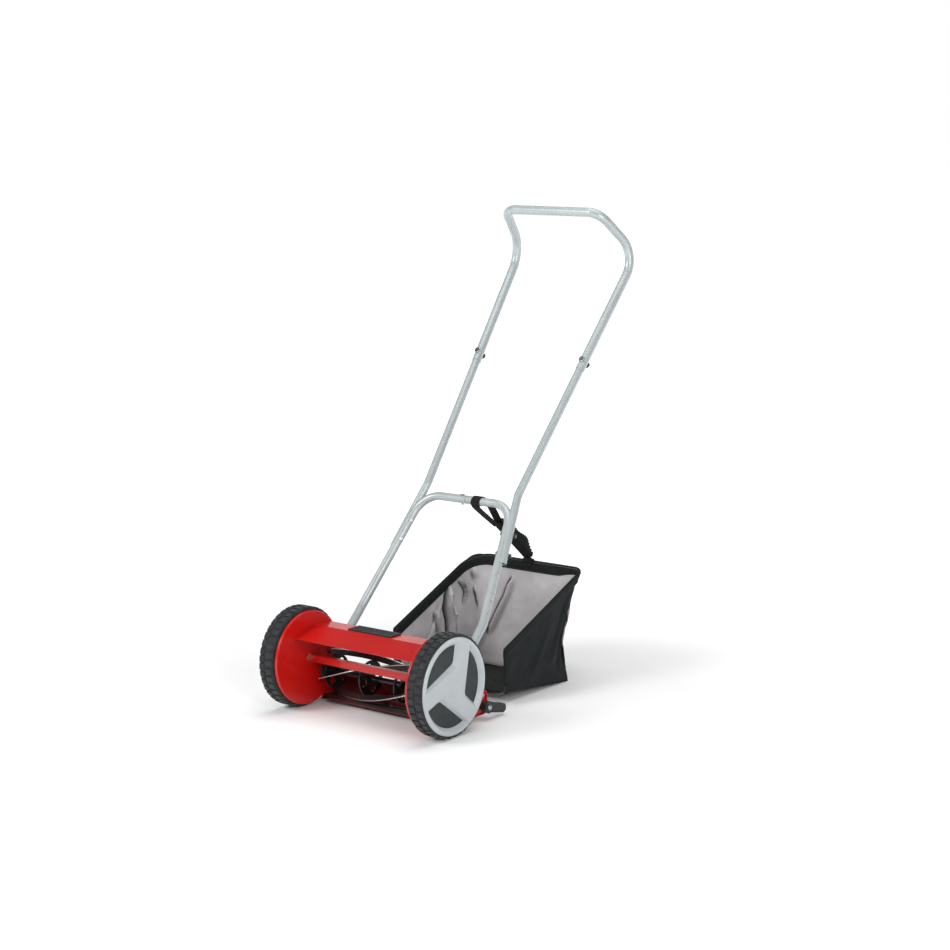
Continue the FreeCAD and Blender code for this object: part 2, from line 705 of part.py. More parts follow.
def lower_handle():
    """L-shaped tube: flattened foot, leg, corner and half of the crossbar."""
    slope = (HANDLE_BEND[0] - HANDLE_PIVOT[0], HANDLE_BEND[1] - HANDLE_PIVOT[1])
    length = math.hypot(slope[0], slope[1])
    unit = (slope[0] / length, slope[1] / length)
    start = at(LEG_X, (HANDLE_PIVOT[0] + unit[0] * FOOT_FLAT, HANDLE_PIVOT[1] + unit[1] * FOOT_FLAT))
    points = [start, at(LEG_X, HANDLE_BEND), at(CROSSBAR_CORNER_X, CROSSBAR),
              at(CROSS_SPLIT_X, CROSSBAR)]
    leg = tube(points, [60, CROSSBAR_CORNER_R], TUBE_R, TUBE_R - TUBE_WALL)
    along = Vector(0, unit[0], unit[1])
    across = Vector(0, -unit[1], unit[0])
    tip = 12.0
    pivot = at(0, HANDLE_PIVOT)
    corners = []
    for reach, half in ((-tip, TUBE_R + 1), (FOOT_FLAT + 4, TUBE_R + 1), (FOOT_FLAT + 4, -TUBE_R - 1),
                        (-tip, -TUBE_R - 1)):
        point = pivot + along * reach + across * half
        corners.append((point.y, point.z))
    foot = polygon_solid(corners, FOOT_X[0], FOOT_X[1])
    body = joined([leg, foot])
    return body.cut(rod(BOLT_R + RUN_FIT, 100, 250, HANDLE_PIVOT))


def crossbar_sleeve():
    """Swaged sleeve inside the crossbar that joins the two lower tubes."""
    return rod(TUBE_R - TUBE_WALL, -28, 28, CROSSBAR)


def crossbar_screw():
    """Screw through the joint of the crossbar."""
    start = Vector(-14, CROSSBAR[0], CROSSBAR[1] + TUBE_R)
    screw = bolt_across(start, Vector(0, 0, -1), 2 * TUBE_R + 4, 2.5, 5, 2)
    return screw


def leg_direction():
    """Unit vector up along the right lower leg above its bend."""
    low = at(LEG_X, HANDLE_BEND)
    high = at(CROSSBAR_CORNER_X, CROSSBAR)
    return (high - low).normalize()


LAP = 132.0                         # length over which a middle tube lies along the leg
LAP_OUT = 8.0                       # how far its centre stands off the leg's, outboard and behind


def middle_tube():
    """Straight tube from the upper handle down to its knee, then along the leg."""
    direction = leg_direction()
    corner = at(CROSSBAR_CORNER_X, CROSSBAR)
    lower_end = corner - direction * LAP + LAP_OUT * lap_side()
    knee = KNEE
    insert = 48.0
    upward = (JOINT - knee).normalize()
    top_end = JOINT + upward * insert
    edges = rounded_path([lower_end, knee, top_end], [60])
    body = swept(edges, TUBE_R).cut(swept(edges, TUBE_R - TUBE_WALL))
    leg_points = [at(LEG_X, HANDLE_BEND), at(CROSSBAR_CORNER_X, CROSSBAR), at(0, CROSSBAR)]
    leg_space = swept(rounded_path(leg_points, [CROSSBAR_CORNER_R]), TUBE_R + 0.05)
    body = body.cut(leg_space)
    solids = sorted(body.Solids, key=lambda solid: solid.Volume)
    return solids[-1]


def lap_side():
    """Unit vector from the leg's centre to the middle tube's, square to the leg."""
    direction = leg_direction()
    outward = Vector(0.75, 0.66, 0.0)
    outward = outward - direction * outward.dot(direction)
    return outward.normalize()


def lap_bolt_places():
    corner = at(CROSSBAR_CORNER_X, CROSSBAR)
    direction = leg_direction()
    return [corner - direction * 66, corner - direction * 112]


def lap_bolts():
    """Two bolts through leg and middle tube on each side, heads inboard."""
    bolts = []
    side = lap_side()
    for place in lap_bolt_places():
        start = place - side * TUBE_R
        bolt = bolt_across(start, side, 2 * TUBE_R + LAP_OUT + 6, 3, 4.5, 2.5)
        bolts.append(bolt)
        bolts.append(mirrored(bolt))
    return group(bolts)


def lap_nuts():
    """Small plastic cap nuts on the outboard ends of those bolts."""
    nuts = []
    side = lap_side()
    for place in lap_bolt_places():
        start = place + side * (TUBE_R + LAP_OUT + 0.1)
        nut = Part.makeCylinder(5.5, 5, start, side).cut(Part.makeCylinder(3, 20, start, side))
        nuts.append(nut)
        nuts.append(mirrored(nut))
    return group(nuts)


def upper_handle():
    """One bent tube: both shanks, the two lean-back bends and the top bar."""
    upward = (JOINT - KNEE).normalize()
    right = [JOINT + upward * 0.5, GRIP_LOW, GRIP_TOP]
    left = [Vector(-p.x, p.y, p.z) for p in right]
    points = right + left[::-1]
    edges = rounded_path(points, [60, 36, 36, 60])
    outer = swept(edges, UPPER_R)
    inner = swept(edges, UPPER_BORE_R)
    return outer.cut(inner)


def joint_bolt_place():
    upward = (JOINT - KNEE).normalize()
    return JOINT + upward * 22


def joint_bolts():
    """Carriage bolt through each socket of the upper handle."""
    upward = (JOINT - KNEE).normalize()
    rearward = Vector(0, upward.z, -upward.y).normalize()
    start = joint_bolt_place() - rearward * UPPER_R
    bolt = bolt_across(start, rearward, 2 * UPPER_R + 9, 3, 6.5, 2.5)
    nut_start = joint_bolt_place() + rearward * (UPPER_R + 0.1)
    nut = Part.makeCylinder(6.5, 6, nut_start, rearward)
    nut = nut.cut(Part.makeCylinder(3, 20, nut_start, rearward))
    return [bolt, mirrored(bolt)], [nut, mirrored(nut)]


def handle_pivot_bolt():
    """Bolt on the plate that the flattened foot turns on, with its washer face outside."""
    shank = rod(BOLT_R, FOOT_X[0] - 5, PLATE_OUT + 6, HANDLE_PIVOT)
    head = rod(8, FOOT_X[0] - 5, FOOT_X[0] - 1.5, HANDLE_PIVOT)
    return joined([shank, head])


def handle_pivot_nut():
    nut = hexagon(6.5, PLATE_OUT, PLATE_OUT + 5.5, HANDLE_PIVOT)
    return nut.cut(rod(BOLT_R, 100, 250, HANDLE_PIVOT))


def stop_pin():
    """Pin that the foot's end rests on with the handle down."""
    return rod(STOP_R, FOOT_X[0], PLATE_OUT + 2, STOP_PIN)


# ---- grass bag -------------------------------------------------------------------------------
HOOK_R = 4.0
EYE_X = (159.0, 164.0)


def bag_hook_pin():
    """Headed pin on the inside of the plate that the bag's wire hangs on."""
    return joined([rod(HOOK_R, EYE_X[0] - 1.5, PLATE_OUT + 2, BAG_HOOK),
                   rod(HOOK_R + 2, EYE_X[0] - 3.5, EYE_X[0] - 1.5, BAG_HOOK)])


def bag_fabric():
    """Fabric tub open at the front and at the top."""
    outer = [BAG_FRONT_LOW, BAG_BACK_LOW, BAG_BACK_TOP, BAG_FRONT_TOP]
    tub = polygon_solid(outer, -BAG_HALF, BAG_HALF)
    inner = [(BAG_FRONT_LOW[0] - 30, BAG_FRONT_LOW[1] + BAG_WALL + 3),
             (BAG_BACK_LOW[0] - BAG_WALL, BAG_BACK_LOW[1] + BAG_WALL),
             (BAG_BACK_TOP[0] - BAG_WALL + 6, BAG_BACK_TOP[1] + 40),
             (BAG_FRONT_TOP[0] - 30, BAG_FRONT_TOP[1] + 60)]
    return tub.cut(polygon_solid(inner, -BAG_HALF + BAG_WALL, BAG_HALF - BAG_WALL))


def bag_wire():
    """Bent wire: hook eye, arm to the bag, front edge, top edge and round the back."""
    start = Vector(161.5, BAG_HOOK[0] + 7.5, BAG_HOOK[1])
    side = [start, Vector(161.5, BAG_HOOK[0] + 60, BAG_HOOK[1] - 14),
            at(BAG_WIRE_X, (BAG_FRONT_LOW[0] - 1, BAG_FRONT_LOW[1] + 3)),
            at(BAG_WIRE_X, (BAG_FRONT_TOP[0], BAG_FRONT_TOP[1] - 1)),
            at(BAG_WIRE_X, (BAG_BACK_TOP[0] + WIRE_R + 0.8, BAG_BACK_TOP[1] - 2))]
    other = [Vector(-p.x, p.y, p.z) for p in side]
    points = side + other[::-1]
    wire = swept(rounded_path(points, [20, 12, 12, 22, 22, 12, 12, 20]), WIRE_R)
    eye = ring(HOOK_R + RUN_FIT + 2 * WIRE_R, HOOK_R + RUN_FIT, EYE_X[0], EYE_X[1], BAG_HOOK)
    return joined([wire, eye, mirrored(eye)])


STRAP_W = 25.0
STRAP_T = 2.0
STRAP_X = 22.0                      # the strap's place on the crossbar
LOOP_R = TUBE_R + 0.4


def strap():
    """Webbing strap from its loop round the crossbar down to the bag's rear rim."""
    loop = ring(LOOP_R + STRAP_T, LOOP_R, STRAP_X - STRAP_W / 2, STRAP_X + STRAP_W / 2, CROSSBAR)
    top = at(0, CROSSBAR)
    rim = at(0, (BAG_BACK_TOP[0] + 2.5, BAG_BACK_TOP[1]))
    direction = (rim - top).normalize()
    square = Vector(0, -direction.z, direction.y)
    near = LOOP_R + 1.0
    far = (rim - top).Length - WIRE_R - 4.0
    corners = []
    for reach, height in ((near, -STRAP_T), (far, -STRAP_T), (far, STRAP_T), (near, STRAP_T)):
        point = top + direction * reach + square * height
        corners.append(point)
    low = [Vector(STRAP_X - STRAP_W / 2, p.y, p.z) for p in corners]
    high = [Vector(STRAP_X + STRAP_W / 2, p.y, p.z) for p in corners]
    for i in (1, 2):
        low[i].x -= STRAP_X
        high[i].x -= STRAP_X
    band = ruled_box(low, high)
    return joined([loop, band])


def ruled_box(low, high):
    """Solid with four corners on each of two facing sides."""
    faces = [Part.Face(Part.makePolygon(low + low[:1])), Part.Face(Part.makePolygon(high + high[:1]))]
    for i in range(4):
        j = (i + 1) % 4
        ring_points = [low[i], low[j], high[j], high[i], low[i]]
        faces.append(Part.Face(Part.makePolygon(ring_points)))
    return Part.makeSolid(Part.makeShell(faces))


# ---- all nodes -------------------------------------------------------------------------------
def right_and_left(name, shape):
    return {name + "_right": shape, name + "_left": mirrored(shape)}


def all_nodes():
    nodes = {}
    nodes.update(right_and_left("side_plate", side_plate()))
    nodes["cover"] = cover()
    nodes["cover_insert"] = cover_insert()
    nodes["cover_tabs"] = cover_tabs()
    nodes["tie_bar"] = tie_bar()
    nodes["bedknife_carrier"] = bedknife_carrier()
    nodes["bedknife_blade"] = bedknife_blade()
    nodes["bedknife_screws"] = bedknife_screws()
    nodes["frame_bolts"] = frame_bolts()
    nodes.update(right_and_left("wheel_axle", wheel_axle()))
    nodes["axle_clips"] = group([axle_clip(), mirrored(axle_clip())])
    nodes.update(right_and_left("reel_bearing", reel_bearing()))
    nodes["handle_pivot_bolts"] = group([handle_pivot_bolt(), mirrored(handle_pivot_bolt())])
    nodes["handle_pivot_nuts"] = group([handle_pivot_nut(), mirrored(handle_pivot_nut())])
    nodes["handle_stop_pins"] = group([stop_pin(), mirrored(stop_pin())])
    nodes["bag_hook_pins"] = group([bag_hook_pin(), mirrored(bag_hook_pin())])

    nodes.update(right_and_left("tyre", tyre()))
    nodes.update(right_and_left("wheel_rim", wheel_rim()))
    nodes.update(right_and_left("wheel_bush", wheel_bush()))
    nodes.update(right_and_left("hub_cap", hub_cap()))
    nodes.update(right_and_left("hub_inserts", hub_inserts()))

    nodes["reel_shaft"] = reel_shaft()
    nodes["reel_spiders"] = reel_spiders()
    for i in range(BLADE_COUNT):
        nodes["reel_blade_%d" % (i + 1)] = reel_blade(i)
    nodes["drive_pinion_right"] = drive_pinion()
    nodes["free_pinion_left"] = mirrored(free_pinion())

    nodes.update(right_and_left("height_lever", height_lever()))
    nodes.update(right_and_left("roller_arm", roller_arm()))
    nodes["lift_screws"] = group([lift_screw(), mirrored(lift_screw())])
    nodes["roller_axle"] = roller_axle()
    nodes["roller_tube"] = roller_tube()
    nodes["roller_caps"] = roller_caps()

    nodes.update(right_and_left("lower_handle", lower_handle()))
    nodes["crossbar_sleeve"] = crossbar_sleeve()
    nodes["crossbar_screw"] = crossbar_screw()
    nodes.update(right_and_left("middle_tube", middle_tube()))
    nodes["lap_bolts"] = lap_bolts()
    nodes["lap_nuts"] = lap_nuts()
    nodes["upper_handle"] = upper_handle()
    bolts, nuts = joint_bolts()
    nodes["joint_bolts"] = group(bolts)
    nodes["joint_nuts"] = group(nuts)

    nodes["bag_fabric"] = bag_fabric()
    nodes["bag_wire"] = bag_wire()
    nodes["bag_strap"] = strap()
    drill_holes(nodes)
    return nodes


def drill_holes(nodes):
    """Cut each fastener, and the bag's wire, out of the pieces it passes through."""
    passes_through = [
        ("bedknife_screws", ["bedknife_blade", "bedknife_carrier"]),
        ("crossbar_screw", ["crossbar_sleeve", "lower_handle_left"]),
        ("joint_bolts", ["middle_tube_right", "middle_tube_left", "upper_handle"]),
        ("lap_bolts", ["lower_handle_right", "lower_handle_left", "middle_tube_right",
                       "middle_tube_left"]),
        ("middle_tube_right", ["lap_nuts"]),
        ("middle_tube_left", ["lap_nuts"]),
        ("bag_wire", ["bag_fabric"])]
    for fastener, hosts in passes_through:
        for host in hosts:
            nodes[host] = nodes[host].cut(nodes[fastener])


os.makedirs("parts", exist_ok=True)
for node_name, node_shape in all_nodes().items():
    box = node_shape.BoundBox
    print("%-22s %d solids, valid %s, volume %.0f, x %.1f %.1f y %.1f %.1f z %.1f %.1f" % (
        node_name, len(node_shape.Solids), node_shape.isValid(), node_shape.Volume,
        box.XMin, box.XMax, box.YMin, box.YMax, box.ZMin, box.ZMax))
    node_shape.exportStep("parts/" + node_name + ".step")
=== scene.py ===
"""Looks of the push reel mower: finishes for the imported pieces, and the grass bag and strap in detail.

Metres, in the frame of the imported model: +Z up, -Y the way the mower is pushed, +X its right wheel.
"""
import bpy
import json
import math
from mathutils import Matrix, Vector, noise


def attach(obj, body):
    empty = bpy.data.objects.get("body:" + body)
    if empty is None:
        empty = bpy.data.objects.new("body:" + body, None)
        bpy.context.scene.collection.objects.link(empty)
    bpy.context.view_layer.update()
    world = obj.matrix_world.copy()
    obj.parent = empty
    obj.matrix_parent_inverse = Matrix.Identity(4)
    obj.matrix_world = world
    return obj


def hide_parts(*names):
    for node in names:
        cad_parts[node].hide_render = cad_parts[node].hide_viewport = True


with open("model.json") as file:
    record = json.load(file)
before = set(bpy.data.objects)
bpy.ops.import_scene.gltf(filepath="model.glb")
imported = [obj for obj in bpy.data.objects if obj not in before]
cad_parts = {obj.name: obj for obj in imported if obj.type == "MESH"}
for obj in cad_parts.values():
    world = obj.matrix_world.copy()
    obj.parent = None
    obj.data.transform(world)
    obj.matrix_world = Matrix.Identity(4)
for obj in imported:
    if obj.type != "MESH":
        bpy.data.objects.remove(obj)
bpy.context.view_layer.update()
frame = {"nodes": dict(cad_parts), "record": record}

NODES = frame["nodes"]
MM = 0.001
REEL_AXIS = (0.052, 0.06943)        # y, z
REEL_R = 0.050


# ---- camera, floor and light -----------------------------------------------------------------
CAMERA_AZIMUTH = math.radians(37.751)
CAMERA_RISE = math.radians(9.93)
CAMERA_DISTANCE = 4.638
CAMERA_TARGET = Vector((0.0, 0.300, 0.450))
CAMERA_SHIFT = (0.0283, 0.0127)      # of the target, to the camera's right and up
CAMERA_LENS = 83.60
CAMERA_ROLL = math.radians(0.245)
FLOOR_HALF = 14
FLOOR_GLOW = (0.7, 3.0, 0, 0.9)      # from this far to this far from the object, from this to this strength
SURROUND = 0.34                      # brightness of the surround as a light
HORIZON_BAND = (0.24, 0.38, 1.0, 0.10)      # mirrored brightness against the rise of the mirrored ray
BLACK_CARD = (-0.1, 0.6, 0.15, 1.0)         # and against how far it goes away from the camera
LIT_MIDDLE = (0, 0.25, 0.35)


def make_camera():
    """Long lens at the product view's angle."""
    back = Vector((math.sin(CAMERA_AZIMUTH) * math.cos(CAMERA_RISE),
                   -math.cos(CAMERA_AZIMUTH) * math.cos(CAMERA_RISE),
                   math.sin(CAMERA_RISE)))
    right = Vector((math.cos(CAMERA_AZIMUTH), math.sin(CAMERA_AZIMUTH), 0))
    up = back.cross(right)
    data = bpy.data.cameras.new("camera")
    data.lens = CAMERA_LENS
    data.clip_end = 50
    camera = bpy.data.objects.new("camera", data)
    camera.location = CAMERA_TARGET + right * CAMERA_SHIFT[0] + up * CAMERA_SHIFT[1] + back * CAMERA_DISTANCE
    level = back.to_track_quat("Z", "Y").to_matrix()
    camera.rotation_euler = (level @ Matrix.Rotation(-CAMERA_ROLL, 3, "Z")).to_euler()
    bpy.context.scene.collection.objects.link(camera)
    bpy.context.scene.camera = camera


def make_floor():
    """Pale floor that glows towards its edges, so that it meets the white backdrop without a line."""
    mesh = bpy.data.meshes.new("floor")
    corners = [(x * FLOOR_HALF, y * FLOOR_HALF, 0) for x, y in ((-1, -1), (1, -1), (1, 1), (-1, 1))]
    mesh.from_pydata(corners, [], [(0, 1, 2, 3)])
    floor = bpy.data.objects.new("floor", mesh)
    bpy.context.scene.collection.objects.link(floor)
    pale = Finish("pale_floor", {"Roughness": 0.9, "Specular IOR Level": 0.0})
    pale.colour(pale.noise(1.5, 2), [(0.3, (0.93, 0.93, 0.93)), (0.7, (0.95, 0.95, 0.95))])
    distance = pale.add("ShaderNodeVectorMath", operation="LENGTH")
    pale.feed(distance.inputs[0], pale.place())
    pale.shader.inputs["Emission Color"].default_value = (1, 1, 1, 1)
    glow = pale.spread(distance.outputs["Value"], *FLOOR_GLOW)
    pale.feed(pale.shader.inputs["Emission Strength"], glow)
    floor.data.materials.append(pale.material)


def soft_box(name, place, aim, size, watts):
    """Square area light at place, turned towards aim."""
    data = bpy.data.lights.new(name, "AREA")
    data.size = size
    data.energy = watts
    light = bpy.data.objects.new(name, data)
    light.location = place
    light.rotation_euler = (Vector(place) - Vector(aim)).to_track_quat("Z", "Y").to_euler()
    bpy.context.scene.collection.objects.link(light)


def clamped_step(tree, source, from_low, from_high, to_low, to_high):
    """Map Range node that takes from_low to to_low and from_high to to_high, and its output."""
    node = tree.nodes.new("ShaderNodeMapRange")
    for socket, value in (("From Min", from_low), ("From Max", from_high),
                          ("To Min", to_low), ("To Max", to_high)):
        node.inputs[socket].default_value = value
    tree.links.new(source, node.inputs["Value"])
    return node.outputs["Result"]


def mix_where(tree, ray_kind, otherwise, there):
    """Value that is one thing for the named kind of ray and another for all the rest."""
    path = tree.nodes.new("ShaderNodeLightPath")
    mix = tree.nodes.new("ShaderNodeMix")
    tree.links.new(path.outputs[ray_kind], mix.inputs["Factor"])
    for socket, value in (("A", otherwise), ("B", there)):
        if isinstance(value, bpy.types.NodeSocket):
            tree.links.new(value, mix.inputs[socket])
        else:
            mix.inputs[socket].default_value = value
    return mix.outputs["Result"]


def make_world():
    """White backdrop to the camera; a dim surround as a light, mirrored bright only low behind the object."""
    world = bpy.data.worlds.new("studio")
    world.use_nodes = True
    tree = world.node_tree
    background = tree.nodes["Background"]
    background.inputs["Color"].default_value = (1, 1, 1, 1)
    direction = tree.nodes.new("ShaderNodeTexCoord").outputs["Generated"]
    split = tree.nodes.new("ShaderNodeSeparateXYZ")
    tree.links.new(direction, split.inputs[0])
    behind = tree.nodes.new("ShaderNodeVectorMath")
    behind.operation = "DOT_PRODUCT"
    behind.inputs[1].default_value = (-math.sin(CAMERA_AZIMUTH), math.cos(CAMERA_AZIMUTH), 0)
    tree.links.new(direction, behind.inputs[0])
    backdrop = tree.nodes.new("ShaderNodeMath")
    backdrop.operation = "MULTIPLY"
    tree.links.new(clamped_step(tree, split.outputs[2], *HORIZON_BAND), backdrop.inputs[0])
    tree.links.new(clamped_step(tree, behind.outputs["Value"], *BLACK_CARD), backdrop.inputs[1])
    mirrored = mix_where(tree, "Is Glossy Ray", SURROUND, backdrop.outputs["Value"])
    seen = mix_where(tree, "Is Camera Ray", mirrored, 1.0)
    tree.links.new(seen, background.inputs["Strength"])
    bpy.context.scene.world = world


def make_lights():
    """Large soft box overhead and one on each side of the camera."""
    soft_box("top_light", (0.0, 0.6, 3.4), LIT_MIDDLE, 3.0, 62)
    soft_box("key_light", (-1.6, -3.0, 2.6), LIT_MIDDLE, 1.6, 80)
    soft_box("fill_light", (3.2, -1.6, 1.6), LIT_MIDDLE, 1.8, 62)


# ---- materials -------------------------------------------------------------------------------
def rgba(colour):
    return (colour[0], colour[1], colour[2], 1.0)


class Finish:
    """A procedural material while it is being wired up."""

    def __init__(self, name, sockets):
        self.material = bpy.data.materials.new(name)
        self.material.use_nodes = True
        self.tree = self.material.node_tree
        self.shader = self.tree.nodes["Principled BSDF"]
        for socket, value in sockets.items():
            self.shader.inputs[socket].default_value = value
        self.last_normal = None

    def add(self, kind, **settings):
        node = self.tree.nodes.new(kind)
        for name, value in settings.items():
            setattr(node, name, value)
        return node

    def feed(self, socket, value):
        """Links an output to a socket, or sets a number on it."""
        if isinstance(value, bpy.types.NodeSocket):
            self.tree.links.new(value, socket)
        else:
            socket.default_value = value

    def place(self, stretch=(1, 1, 1), kind="Object"):
        """Coordinates on the piece in metres, stretched along its axes."""
        source = self.add("ShaderNodeTexCoord").outputs[kind]
        mapping = self.add("ShaderNodeMapping")
        mapping.inputs["Scale"].default_value = stretch
        self.feed(mapping.inputs["Vector"], source)
        return mapping.outputs["Vector"]

    def noise(self, scale, detail, stretch=(1, 1, 1)):
        node = self.add("ShaderNodeTexNoise")
        node.inputs["Scale"].default_value = scale
        node.inputs["Detail"].default_value = detail
        self.feed(node.inputs["Vector"], self.place(stretch))
        return node.outputs["Fac"]

    def maths(self, operation, a, b=0.0):
        node = self.add("ShaderNodeMath", operation=operation)
        self.feed(node.inputs[0], a)
        self.feed(node.inputs[1], b)
        return node.outputs[0]

    def spread(self, factor, from_low, from_high, to_low, to_high):
        """Clamped linear step."""
        return clamped_step(self.tree, factor, from_low, from_high, to_low, to_high)

    def ramp(self, factor, stops):
        node = self.add("ShaderNodeValToRGB")
        elements = node.color_ramp.elements
        while len(elements) < len(stops):
            elements.new(0.5)
        for element, (position, colour) in zip(elements, stops):
            element.position = position
            element.color = rgba(colour)
        self.feed(node.inputs["Fac"], factor)
        return node.outputs["Color"]

    def blend(self, factor, first, second):
        node = self.add("ShaderNodeMix", data_type="RGBA")
        self.feed(node.inputs["Factor"], factor)
        for socket, value in ((node.inputs[6], first), (node.inputs[7], second)):
            self.feed(socket, value if isinstance(value, bpy.types.NodeSocket) else rgba(value))
        return node.outputs[2]

    def colour(self, factor, stops):
        colour = self.ramp(factor, stops)
        self.feed(self.shader.inputs["Base Color"], colour)
        return colour

    def rough(self, factor, low, high):
        self.feed(self.shader.inputs["Roughness"], self.spread(factor, 0.3, 0.7, low, high))

    def bump(self, height, depth, strength=1.0):
        """Adds relief of the given depth in metres."""
        node = self.add("ShaderNodeBump")
        node.inputs["Distance"].default_value = depth
        node.inputs["Strength"].default_value = strength
        self.feed(node.inputs["Height"], height)
        if self.last_normal is not None:
            self.feed(node.inputs["Normal"], self.last_normal)
        self.last_normal = node.outputs["Normal"]
        self.feed(self.shader.inputs["Normal"], self.last_normal)

    def weave(self, pitch):
        """Over and under of a plain weave, from coordinates in metres on the cloth."""
        split = self.add("ShaderNodeSeparateXYZ")
        turns = 2 * math.pi / pitch
        self.feed(split.inputs[0], self.place((turns, turns, turns), "UV"))
        across = self.maths("SINE", split.outputs[0])
        along = self.maths("SINE", split.outputs[1])
        return self.maths("MULTIPLY", across, along)

    def grid(self, pitch, share):
        """1 on the lines of a square grid on the cloth, 0 between them."""
        split = self.add("ShaderNodeSeparateXYZ")
        turns = 2 * math.pi / pitch
        self.feed(split.inputs[0], self.place((turns, turns, turns), "UV"))
        across = self.maths("COSINE", split.outputs[0])
        along = self.maths("COSINE", split.outputs[1])
        edge = math.cos(math.pi * share)
        return self.spread(self.maths("MAXIMUM", across, along), edge - 0.1, edge + 0.1, 0, 1)


def gloss_paint(name, light, dark):
    """Powder coat: slow colour drift, orange peel and a clear glossy skin."""
    paint = Finish(name, {"Coat Weight": 0.35, "Coat Roughness": 0.06, "Specular IOR Level": 0.4})
    paint.colour(paint.noise(9, 4), [(0.35, dark), (0.65, light)])
    paint.rough(paint.noise(45, 4), 0.28, 0.33)
    paint.bump(paint.noise(420, 2), 0.05 * MM, 0.4)
    return paint.material


def red_paint():
    return gloss_paint("red_paint", (0.53, 0.006, 0.004), (0.48, 0.005, 0.003))


# Painted shade: the red paint at about a fifth of its brightness, standing for the shade that falls on the
# low bedknife carrier.
def red_paint_dark():
    return gloss_paint("red_paint_dark", (0.10, 0.004, 0.004), (0.07, 0.003, 0.003))


def steel(name, light, dark, low, high, stretch):
    """Bare metal with fine marks along one direction."""
    metal = Finish(name, {"Metallic": 1.0})
    metal.colour(metal.noise(60, 5), [(0.3, dark), (0.7, light)])
    metal.rough(metal.noise(300, 3, stretch), low, high)
    metal.bump(metal.noise(900, 2, stretch), 0.03 * MM, 0.5)
    return metal.material


def ground_steel():
    return steel("ground_steel", (0.62, 0.62, 0.61), (0.50, 0.50, 0.49), 0.22, 0.36, (0.03, 1, 1))


def zinc():
    return steel("zinc", (0.48, 0.49, 0.50), (0.38, 0.39, 0.40), 0.24, 0.38, (1, 1, 1))


def gear_steel():
    return steel("gear_steel", (0.42, 0.41, 0.40), (0.27, 0.26, 0.25), 0.32, 0.48, (1, 1, 1))


def bearing_nylon():
    """Dark glass-filled nylon."""
    nylon = Finish("bearing_nylon", {"Specular IOR Level": 0.4})
    nylon.colour(nylon.noise(80, 3), [(0.3, (0.035, 0.035, 0.037)), (0.7, (0.050, 0.050, 0.052))])
    nylon.rough(nylon.noise(200, 3), 0.35, 0.5)
    nylon.bump(nylon.noise(1500, 2), 0.03 * MM, 0.4)
    return nylon.material


def moulded_plastic(name, light, dark, low, high, grain):
    """Injection moulded plastic with a fine spark-eroded grain."""
    plastic = Finish(name, {"Specular IOR Level": 0.45})
    plastic.colour(plastic.noise(25, 4), [(0.35, dark), (0.65, light)])
    plastic.rough(plastic.noise(160, 4), low, high)
    plastic.bump(plastic.noise(2200, 3), grain, 0.6)
    return plastic.material


def rim_plastic():
    return moulded_plastic("rim_plastic", (0.030, 0.031, 0.034), (0.020, 0.021, 0.023), 0.42, 0.55, 0.05 * MM)


def cap_grey():
    return moulded_plastic("cap_grey", (0.45, 0.485, 0.50), (0.42, 0.455, 0.47), 0.34, 0.44, 0.03 * MM)


def insert_plastic():
    return moulded_plastic("insert_plastic", (0.022, 0.027, 0.029), (0.015, 0.019, 0.021), 0.46, 0.6,
                           0.08 * MM)


def black_plastic():
    return moulded_plastic("black_plastic", (0.020, 0.021, 0.022), (0.012, 0.013, 0.014), 0.38, 0.52,
                           0.06 * MM)


def tyre_black():
    """Moulded tyre: matt, slightly dusty in random patches, with a coarse grain."""
    tyre = Finish("tyre_black", {"Specular IOR Level": 0.3, "Sheen Weight": 0.1})
    tyre.colour(tyre.noise(70, 6), [(0.3, (0.012, 0.014, 0.015)), (0.55, (0.022, 0.025, 0.027)),
                                    (0.8, (0.042, 0.046, 0.048))])
    tyre.rough(tyre.noise(120, 5), 0.55, 0.78)
    tyre.bump(tyre.noise(120, 3), 2.6 * MM, 0.9)
    tyre.bump(tyre.noise(700, 4), 0.25 * MM, 0.6)
    return tyre.material


def radius_from(finish, y, z):
    """Distance of a point on the piece from a line along X."""
    split = finish.add("ShaderNodeSeparateXYZ")
    finish.feed(split.inputs[0], finish.place())
    across = finish.maths("SUBTRACT", split.outputs[1], y)
    upward = finish.maths("SUBTRACT", split.outputs[2], z)
    squares = finish.maths("ADD", finish.maths("MULTIPLY", across, across),
                           finish.maths("MULTIPLY", upward, upward))
    return finish.maths("SQRT", squares)


def blade_finish():
    """Black painted blade whose outer edge is ground bright."""
    blade = Finish("blade_finish", {"Specular IOR Level": 0.5})
    radius = radius_from(blade, *REEL_AXIS)
    ragged = blade.maths("ADD", radius, blade.maths("MULTIPLY", blade.noise(160, 4), 0.8 * MM))
    bright = blade.spread(ragged, REEL_R - 1.4 * MM, REEL_R - 1.1 * MM, 0, 1)
    paint = blade.ramp(blade.noise(60, 4), [(0.3, (0.008, 0.008, 0.009)), (0.7, (0.018, 0.018, 0.020))])
    metal = blade.ramp(blade.noise(500, 3), [(0.3, (0.55, 0.55, 0.54)), (0.7, (0.74, 0.74, 0.73))])
    blade.feed(blade.shader.inputs["Base Color"], blade.blend(bright, paint, metal))
    blade.feed(blade.shader.inputs["Metallic"], bright)
    blade.rough(blade.noise(260, 3), 0.28, 0.42)
    blade.bump(blade.noise(500, 2), 0.08 * MM, 0.5)
    return blade.material


def black_paint():
    return gloss_paint("black_paint", (0.008, 0.008, 0.009), (0.005, 0.005, 0.005))


def wire_black():
    return moulded_plastic("wire_black", (0.014, 0.014, 0.015), (0.008, 0.008, 0.009), 0.3, 0.45, 0.05 * MM)


